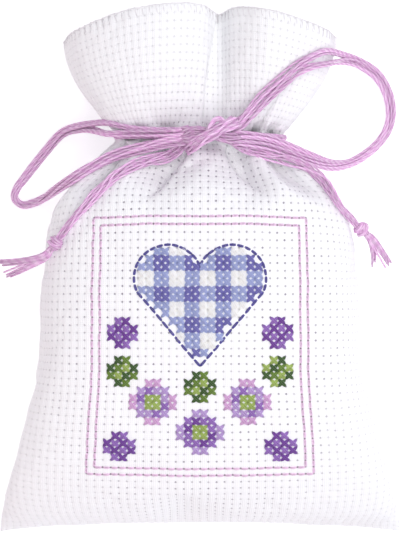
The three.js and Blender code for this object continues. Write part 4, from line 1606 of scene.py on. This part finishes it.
@dataclass
class Bow:
    """The cord of the sachet: its tie, knot, loops, tails, end knots and frayed ends."""

    knot: np.ndarray
    form: PouchForm
    surface: BVHTree
    material: bpy.types.Material
    loop_diameter: float = 2.2
    tail_diameter: float = 1.6
    tie_gaps: tuple[float, float] = (0.4, 1.9)
    tie_drop: float = 0.2
    most_settle: float = 2.2
    root_shares: tuple[float, float] = (0.04, 0.16)
    loop_steps: int = 170
    loop_rest: float = 0.8
    tail_steps: int = 100
    tail_rest: float = 0.65
    strand_sides: int = 7
    strand_tones: tuple[float, float] = (0.8, 1.12)
    end_knot_back: float = 1.6
    end_knot_turn: float = 0.95
    end_knot_half: float = 0.9
    end_knot_radius: float = 0.95
    lock_strands: int = 14
    lock_steps: int = 20
    lock_tones: tuple[float, float] = (0.78, 1.12)
    seed: int = 11

    LOOPS = {
        "left": (
            (-4.1, 0.3, -0.9), (-5.2, 0.1, -0.4), (-8.8, 0, -1.6), (-13.2, 0.2, -3),
            (-17.9, 0.7, -5.8), (-21.6, 1.2, -9.9), (-24.8, 1.2, -14.4), (-28.2, 0.1, -18.4),
            (-31, -2.7, -20.9), (-33.4, -5.4, -22.4), (-35.5, -8.1, -22.9), (-37, -10.2, -23),
            (-37.4, -12, -23), (-36, -13.3, -22.7), (-33.8, -13, -21), (-31.4, -11.9, -17),
            (-29.7, -10.9, -11.4), (-26.6, -9.1, -5.3), (-22.4, -6.4, -3.4), (-18.5, -4.3, -3.2),
            (-14.2, -3, -3.3), (-8.8, -1.8, -1.6), (-5.2, -1.3, -0.4), (-4.1, -1.2, -0.9),
        ),
        "right": (
            (4.1, 1.2, -0.9), (5.2, 1.5, -0.4), (7, 3.3, -1.1), (10.2, 6.7, -3.2),
            (13.9, 10, -4.2), (16.7, 12.3, -5.5), (20.4, 14, -8.8), (24.2, 14.5, -14.4),
            (27.9, 13.6, -19.2), (31.7, 11.2, -22), (33.7, 7.8, -22.9), (34.3, 4.2, -23),
            (33.7, 1, -23), (32, -1.8, -22.6), (29.4, -4, -21), (26.1, -5.5, -17.2),
            (22.3, -5.8, -11.4), (18.6, -4.8, -7.2), (14.8, -3.3, -5.2), (11.1, -2, -3.5),
            (7.5, -1.4, -1.6), (5.2, -1.2, -0.4), (4.1, -1.2, -0.9),
        ),
    }
    LOOP_LAYS = {
        "left": Lay(9, 0.25, (1.0, 1.0, 0.95, 0.85, 0.65, 0.7, 0.9, 1.1, 1.1), 0.5, 1.1, (0.18, 0.05, 0.6)),
        # the right loop's last value, 1.06, paints it lighter, as painted light
        "right": Lay(9, 0.25, (1.1, 1.5, 1.4, 1.2, 1.1, 1.0, 0.9, 0.9, 1.0, 1.2, 1.5, 1.6), 0.5, 1.1,
                     (0.27, 0.05, 0.5), 1.06),
    }
    TAILS = {
        "left": (
            (-4.1, -1.5, -1.8), (-4.8, -2, -1.9), (-5.9, -3.2, -2.1), (-7.8, -4.3, -2),
            (-12.8, -5.7, -1.8), (-17, -7.6, -1.2), (-19.8, -9.8, -0.3), (-22.6, -12.7, 0.6),
            (-25.4, -15.9, 0.9), (-27.2, -18.3, 0.9), (-28.6, -20.1, 0.9), (-30, -21.9, 0.8),
        ),
        "right": (
            (4.1, -1.5, -1.8), (5, -2.2, -2.1), (6.6, -2.9, -2.5), (9.2, -3.5, -2.9),
            (14.8, -5.1, -3.4), (18.2, -6.6, -4.1), (20.6, -8.4, -4), (22.4, -11, -3.1),
            (24.3, -14, -2.6), (26.3, -16, -3.4), (27.8, -17.5, -4.2), (29.3, -19, -5.2),
        ),
    }
    TAIL_LAY = Lay(8, 0.22, (1.0, 1.2, 1.0, 0.75, 0.55), 0.4, 1.2)
    TIE_LAY = Lay(7, 0.22, (0.5,), 0.5, 2.5)
    # the knot's core strands are painted darker, as painted shade inside the knot
    KNOT_LAY = Lay(9, 0.25, (1.0, 0.8, 1.0), 0.5, 0.6, tone=0.82)
    BAND_LAY = Lay(9, 0.27, (1.15,), 0.45, 0.5)
    BIGHT_LAY = Lay(4, 0.22, (0.4,), 0.3, 0.5)
    END_LAY = Lay(6, 0.24, (0.45,), 0.35, 1.0)
    KNOT_BAND = (
        (-4.6, -3.0, -1.5), (-3.6, -2.6, 0.4), (-1.7, -1.4, 2.1), (1, -0.1, 2.5), (3.4, 1.4, 1.7),
        (4.5, 2.2, 0), (3.6, 1.8, -1.6), (1, 0.4, -2.1), (-2, -1.4, -2.1), (-4.2, -2.8, -1.7),
    )
    KNOT_CORES = (
        ((-6.8, 0, -2), (-5.4, 0.1, -0.5), (-4.1, 0.3, 0.5), (-2, 0.2, 0.9), (0, -0.2, 1),
         (2, -0.8, 0.8), (4.1, -1.2, 0.5), (5.4, -1.2, -0.5), (6.8, -1.3, -2)),
        ((-6.8, -1.5, -2), (-5.4, -1.3, -0.5), (-4.1, -1.2, 0.5), (-2, -0.9, 0.9), (0, -0.3, 1.1),
         (2, 0.5, 0.9), (4.1, 1.2, 0.5), (5.4, 1.8, -0.4), (6.6, 2.9, -2)),
        ((-6.2, -3.3, -3.2), (-5.2, -2.5, -2), (-4.1, -1.5, -1.3), (-2, -0.8, -1.1), (0, -0.5, -1),
         (2, -0.8, -1.1), (4.1, -1.5, -1.3), (5.4, -2.3, -2), (6.4, -2.9, -3.4)),
    )
    KNOT_BIGHT = ((-0.8, -0.4, 2.0), (0, 1.3, 2.0), (0.9, 2.4, 1.5), (2.1, 2.2, 1.6), (2.4, 0.6, 2.0))
    TIPS = {
        "left": ((-9.4, -2.6, -6.5), (-8.2, -4.8, -7.2)),
        "right": ((1.6, -5.6, -6.5), (4.4, -5.6, -7.2)),
    }

    def __post_init__(self) -> None:
        """Starts the small differences between strands."""
        self.rng = np.random.default_rng(self.seed)

    def route(self, points: Route, count: int) -> np.ndarray:
        """Evenly spaced points of a route that is counted from the knot, in metres."""
        return Spline(np.array(points) * MM + self.knot).even(count)

    def resting(self, path: np.ndarray, thick: float, roots: int) -> np.ndarray:
        """A route let down, or lifted, a little way onto the cloth and the floor.

        Args:
            path: The route.
            thick: Millimetres from its centre line to what it lies on.
            roots: How many of its ends leave from the knot.

        Returns:
            The settled route.
        """
        shift = np.empty(len(path))
        around = [np.zeros(3)] + [np.array([i, j, 0.0]) * thick * MM for i in (-1, 1) for j in (-1, 1)]
        for k, point in enumerate(path):
            under = [self.height_below(point + step) for step in around]
            shift[k] = max(under) + thick * MM - point[2]
        shift = np.clip(shift, -self.most_settle * MM, self.most_settle * MM)
        shift = evened(np.maximum(evened(shift, len(path) // 12), shift), len(path) // 30)
        t = np.linspace(0, 1, len(path))
        free = smooth(t, *self.root_shares)
        if roots == 2:
            free = free * smooth(1 - t, *self.root_shares)
        return path + UP * (shift * free)[:, None]

    def height_below(self, point: np.ndarray) -> float:
        """Height in metres of the cloth, or of the floor, under a point."""
        hit = self.surface.ray_cast(Vector((point[0], point[1], 0.1)), Vector((0, 0, -1)))[0]
        return 0.0 if hit is None else hit.z

    def bundle(self, batch: TubeBatch, path: np.ndarray, lay: Lay, up: np.ndarray | None) -> None:
        """Adds the strands of one cord.

        Args:
            batch: Where the strands go.
            path: The centre line.
            lay: How the strands lie.
            up: Direction away from what the cord lies on, or None to carry one along.
        """
        beside, above = TubeBatch.frames(path, TubeBatch.carried(path) if up is None else up)
        t = np.linspace(0, 1, len(path))
        for number in range(lay.strands):
            waves = self.rng.uniform(0, FULL_TURN, 3)
            sideways, upwards = (offset[:, None] * MM for offset in lay.offsets(number, t, waves))
            thick = lay.radius * (1 + 0.06 * np.sin(40 * t + waves[2])) * MM
            # each strand's random tone, times its cord's painted light or shade
            tone = lay.tone * float(self.rng.uniform(*self.strand_tones))
            batch.add(path + beside * sideways + above * upwards, thick, self.strand_sides, tone)

    def finish(self, batch: TubeBatch, node: str) -> bpy.types.Object:
        """Makes one piece of the bow that stands for its node."""
        return batch.build(node, "strands", "orchid_cotton", self.material)

    def build(self) -> None:
        """Makes the whole bow."""
        for hand, points in self.LOOPS.items():
            self.loop(hand, points)
        for hand, points in self.TAILS.items():
            self.tail(hand, points)
        self.centre_knot()
        self.tie()

    def loop(self, hand: str, points: Route) -> None:
        """One loop, out from the knot and back to it.

        Args:
            hand: Its side.
            points: Its route, in millimetres from the knot.
        """
        path = self.resting(self.route(points, self.loop_steps), self.loop_rest, 2)
        batch = TubeBatch()
        self.bundle(batch, path, self.LOOP_LAYS[hand], UP)
        self.finish(batch, f"{hand}_loop")
        self.loop_diameter * MM

    def tail(self, hand: str, points: Route) -> None:
        """One tail with its end knot and its frayed end.

        Args:
            hand: Its side.
            points: Its route, in millimetres from the knot.
        """
        path = self.resting(self.route(points, self.tail_steps), self.tail_rest, 1)
        batch = TubeBatch()
        self.bundle(batch, path, self.TAIL_LAY, UP)
        ends = [self.end_knot(hand, path), self.tassel(hand, path)]
        self.finish(batch, f"{hand}_tail")
        self.tail_diameter * MM

    def centre_knot(self) -> None:
        """The knot: a slanting turn of cord drawn tight over the roots of the loops."""
        batch = TubeBatch()
        for points in self.KNOT_CORES:
            self.bundle(batch, self.route(points, 50), self.KNOT_LAY, UP)
        self.bundle(batch, self.route(self.KNOT_BAND, 80), self.BAND_LAY, None)
        self.bundle(batch, self.route(self.KNOT_BIGHT, 30), self.BIGHT_LAY, None)
        self.finish(batch, "bow_knot")

    def tie(self) -> None:
        """The turn of cord round the gathered neck."""
        share = np.linspace(-1, 1, 60)
        form, middle = self.form, middle_of("neck_tie")
        front, back = (form.section(side, share, form.neck_row, folded=False) for side in Side)
        ring = np.concatenate([front, back[-2:0:-1]])
        centre = ring.mean(axis=0)
        beside, above = self.tie_gaps
        ring = centre + (ring - centre) * [1 + beside / form.neck_half, 1, 1 + 2 * above / form.neck_thick]
        ring[:, 1] = middle[1] / MM - self.tie_drop * (1 + 0.5 * smooth(ring[:, 0], 2, 12))
        ring = np.roll(ring, -(len(share) // 2), axis=0)
        ring = np.concatenate([ring, ring[:1]])
        batch = TubeBatch()
        self.bundle(batch, Spline(ring * MM).even(160), self.TIE_LAY, np.array([0.0, 1.0, 0.0]))
        self.finish(batch, "neck_tie")

    @staticmethod
    def end_axes(path: np.ndarray) -> tuple[np.ndarray, np.ndarray]:
        """The directions onwards and across at a tail's end."""
        ahead = unit(path[-1] - path[-8])
        return ahead, unit(np.cross(UP, ahead))

    def end_knot(self, hand: str, path: np.ndarray) -> bpy.types.Object:
        """An overhand knot drawn tight round the end of a tail.

        Args:
            hand: The tail's side.
            path: The tail's centre line.

        Returns:
            The finished knot.
        """
        ahead, across = self.end_axes(path)
        turn = np.linspace(-self.end_knot_turn, self.end_knot_turn, 48)[:, None]
        centre = path[-1] - ahead * self.end_knot_back * MM
        ring = across * np.cos(FULL_TURN * turn) + np.cross(ahead, across) * np.sin(FULL_TURN * turn)
        coil = ahead * turn * self.end_knot_half + ring * self.end_knot_radius
        batch = TubeBatch()
        self.bundle(batch, centre + coil * MM, self.END_LAY, None)
        return self.finish(batch, f"{hand}_end_knot")

    def tassel(self, hand: str, path: np.ndarray) -> bpy.types.Object:
        """The frayed end beyond a tail's knot: two locks of strands that spread, droop and thin out.

        Args:
            hand: The tail's side.
            path: The tail's centre line.

        Returns:
            The finished tassel.
        """
        end = path[-1]
        ahead, across = self.end_axes(path)
        batch = TubeBatch()
        for k in range(self.lock_strands):
            spread = across * (-1 + 2 * k / (self.lock_strands - 1)) * MM
            tip = np.array(self.TIPS[hand][k % 2]) + self.rng.normal(0, 0.25, 3)
            goal = end + tip * MM + spread * 0.6
            start = end + spread * 0.4
            middle = start + ahead * 1.6 * MM + spread * 0.3
            bend = (middle + goal) / 2 + (ahead * 0.4 + UP * 0.9) * MM
            lock = Spline([end - ahead * 1.2 * MM, start, middle, bend, goal]).even(self.lock_steps)
            thick = np.linspace(0.22, 0.18, self.lock_steps) * MM
            batch.add(lock, thick, 6, float(self.rng.uniform(*self.lock_tones)))
        return self.finish(batch, f"{hand}_tassel")


@dataclass
class SewingThread:
    """White thread: overcast along the raw top edge of each panel, and running stitch inside the seams."""

    cloth: PouchCloth
    material: bpy.types.Material
    pitch: float = 0.95
    depth: float = 1.05
    slant: float = 0.4
    thread: float = 0.11
    roll: float = 0.16
    seam_inset: float = 0.85
    seam_stitch: float = 2.4
    seam_wave: float = 0.12
    ply_pitch: float = 1.6
    ply_offset: float = 0.1
    side_seam: tuple[float, float] = (0.03, 0.7)
    bottom_seam: float = 0.05
    bottom_inset: float = 1.4
    edge_steps: int = 220

    def build(self) -> None:
        """Makes both overcast edges and the three seams."""
        self.overcast(Side.FRONT, "front_edge_overcast")
        self.overcast(Side.BACK, "back_edge_overcast")
        front = self.cloth.panels[Side.FRONT]
        inwards = self.seam_inset * MM
        low, high, side = (int(part * len(front)) for part in (*self.side_seam, self.bottom_seam))
        for node, column, sign in (("left_seam_thread", 0, 1), ("right_seam_thread", -1, -1)):
            self.seam(front[low:high, column] + np.array([sign * inwards, 0, 0]), node)
        self.seam(front[0, side:-side] + np.array([0, self.bottom_inset * inwards, 0]), "bottom_seam_thread")

    def overcast(self, side: Side, node: str) -> None:
        """Slanting stitches over a rolled edge.

        Args:
            side: The panel.
            node: The node that they stand for.
        """
        top, half = self.cloth.form.squares_long, self.cloth.form.half_columns
        batch = TubeBatch()
        edge = np.linspace(-half + 0.2, half - 0.2, self.edge_steps)
        batch.add(self.cloth.place(edge, np.full(self.edge_steps, top), side)[0], self.roll * MM, 5)
        lean = np.array([0.5, 0.25, 0.0, -0.25, -0.5]) * self.slant
        deep = np.array([1.0, 0.5, 0.0, 0.5, 1.0]) * self.depth
        out = np.array([0.0, 0.08, 0.0, -0.08, 0.0])[:, None] * MM
        over = np.array([0.0, 0.0, self.roll, 0.0, 0.0])[:, None] * MM
        for across in np.arange(-half + 0.5, half - 0.4, self.pitch):
            point, normal = self.cloth.place(across + lean, top - deep, side)
            ahead = unit(point[2] - (point[0] + point[4]) / 2)
            batch.add(point + normal * out + ahead * over, self.thread * MM, 5)
        batch.build(node, "stitches", "white_thread", self.material)

    def seam(self, line: np.ndarray, node: str) -> None:
        """A running stitch of two plies along a seam.

        Args:
            line: The seam's line.
            node: The node that it stands for.
        """
        path = Spline(line).even(160)
        reach = reach_along(path) / MM
        wave = self.seam_wave * np.sin(FULL_TURN * reach / self.seam_stitch)
        batch = TubeBatch()
        for ply in (0.0, math.pi):
            turn = ply + FULL_TURN * reach / self.ply_pitch
            sideways, upwards = (self.ply_offset * part for part in (np.cos(turn), np.sin(turn)))
            offset = np.stack([sideways, 0 * turn, wave + upwards], -1)
            batch.add(path + offset * MM, self.thread * MM, 6)
        batch.build(node, "stitches", "white_thread", self.material)


@dataclass
class Studio:
    """Pale floor, soft light and the camera, straight above as in the photograph."""

    distance: float = 1.2
    frame_height: float = 0.0996
    focus_height: float = 0.026
    sensor: float = 36.0
    sky: tuple[float, float] = (0.36, 0.78)
    sky_colour: RGB = (0.925, 0.895, 1.0)
    floor_size: float = 4.0
    floor_height: float = -0.0002
    floor_colour: RGB = (0.955, 0.957, 0.965)
    floor_glow: float = 0.31

    def build(self) -> None:
        """Makes the floor, the lights and the camera."""
        self.floor()
        self.light("key_light", (0.14, 0.01, 0.6), size=0.6, power=2.75, colour=(1.0, 1.0, 0.97))
        self.light("left_bounce", (-0.52, -0.28, 0.12), size=0.5, power=0.65, colour=(1.0, 0.62, 0.55))
        world = bpy.data.worlds.new("studio")
        world.use_nodes = True
        tree = world.node_tree
        place, split, grade = (tree.nodes.new(f"ShaderNode{kind}")
                               for kind in ("TexCoord", "SeparateXYZ", "MapRange"))
        limits = {"From Min": -1, "From Max": 1, "To Min": self.sky[0], "To Max": self.sky[1]}
        for name, value in limits.items():
            grade.inputs[name].default_value = value
        dome = tree.nodes["Background"]
        dome.inputs[0].default_value = (*self.sky_colour, 1.0)
        tree.links.new(place.outputs["Generated"], split.inputs[0])
        tree.links.new(split.outputs[0], grade.inputs["Value"])
        tree.links.new(grade.outputs[0], dome.inputs[1])
        scene = bpy.context.scene
        scene.world = world
        scene.view_settings.view_transform = "Standard"
        camera = bpy.data.cameras.new("photo_camera")
        camera.sensor_width = self.sensor
        camera.lens = self.sensor * self.distance / self.frame_height
        camera.clip_end = 10
        view = bpy.data.objects.new("photo_camera", camera)
        view.location = (0.0, 0.0, self.distance + self.focus_height)
        scene.collection.objects.link(view)
        scene.camera = view

    def floor(self) -> None:
        """A plain pale floor."""
        bpy.ops.object.select_all(action="DESELECT")
        bpy.ops.mesh.primitive_plane_add(size=self.floor_size, location=(0, 0, self.floor_height))
        plane = bpy.context.object
        plane.name = "studio_floor"
        constants = {"Roughness": 0.9, "Base Color": self.floor_colour}
        constants |= {"Emission Color": (1.0, 1.0, 1.0), "Emission Strength": self.floor_glow}
        plane.data.materials.append(Shader("pale_floor", constants).material)

    def light(self, name: str, place: RGB, size: float, power: float, colour: RGB) -> None:
        """A square soft light that looks at the pouch.

        Args:
            name: The light's name.
            place: Where it stands, in metres.
            size: Its side, in metres.
            power: Its power, in watts.
            colour: Its colour.
        """
        data = bpy.data.lights.new(name, "AREA")
        data.size = size
        data.energy = power
        data.color = colour
        lamp = bpy.data.objects.new(name, data)
        lamp.location = place
        lamp.rotation_euler = Vector(place).to_track_quat("Z", "Y").to_euler()
        bpy.context.scene.collection.objects.link(lamp)


def main() -> None:
    """Builds the sachet piece by piece."""
    logging.basicConfig(level=logging.INFO, format="%(name)s %(message)s")
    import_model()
    Studio().build()
    cloth = PouchCloth(PouchForm(bottom=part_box("front_panel")[0].y))
    cloth.start()
    cloth.drape()
    cloth.crease()
    cloth.thicken()
    # each cotton's light and deep colours hold painted highlight and painted shade of its plies
    orchid = CottonFinish("orchid_cotton", srgb(255, 232, 252), srgb(196, 100, 188)).material()
    white = CottonFinish("white_thread", srgb(252, 251, 252), srgb(234, 231, 236)).material()
    Bow(middle_of("bow_knot"), cloth.form, cloth.surface(), orchid).build()
    cloth.draw_shut()
    filling = Filling(cloth).build(LavenderFinish().material())
    cotton = ClothFinish().material()
    for side, node in ((Side.FRONT, "front_panel"), (Side.BACK, "back_panel")):
        panel = settle(cloth.build(side, f"{node}_cloth", cotton), "counted_cloth", node)
    Embroidery(cloth, DyedFinish("embroidery_cotton").material()).build()
    SewingThread(cloth, white).build()


if __name__ == "__main__":
    main()
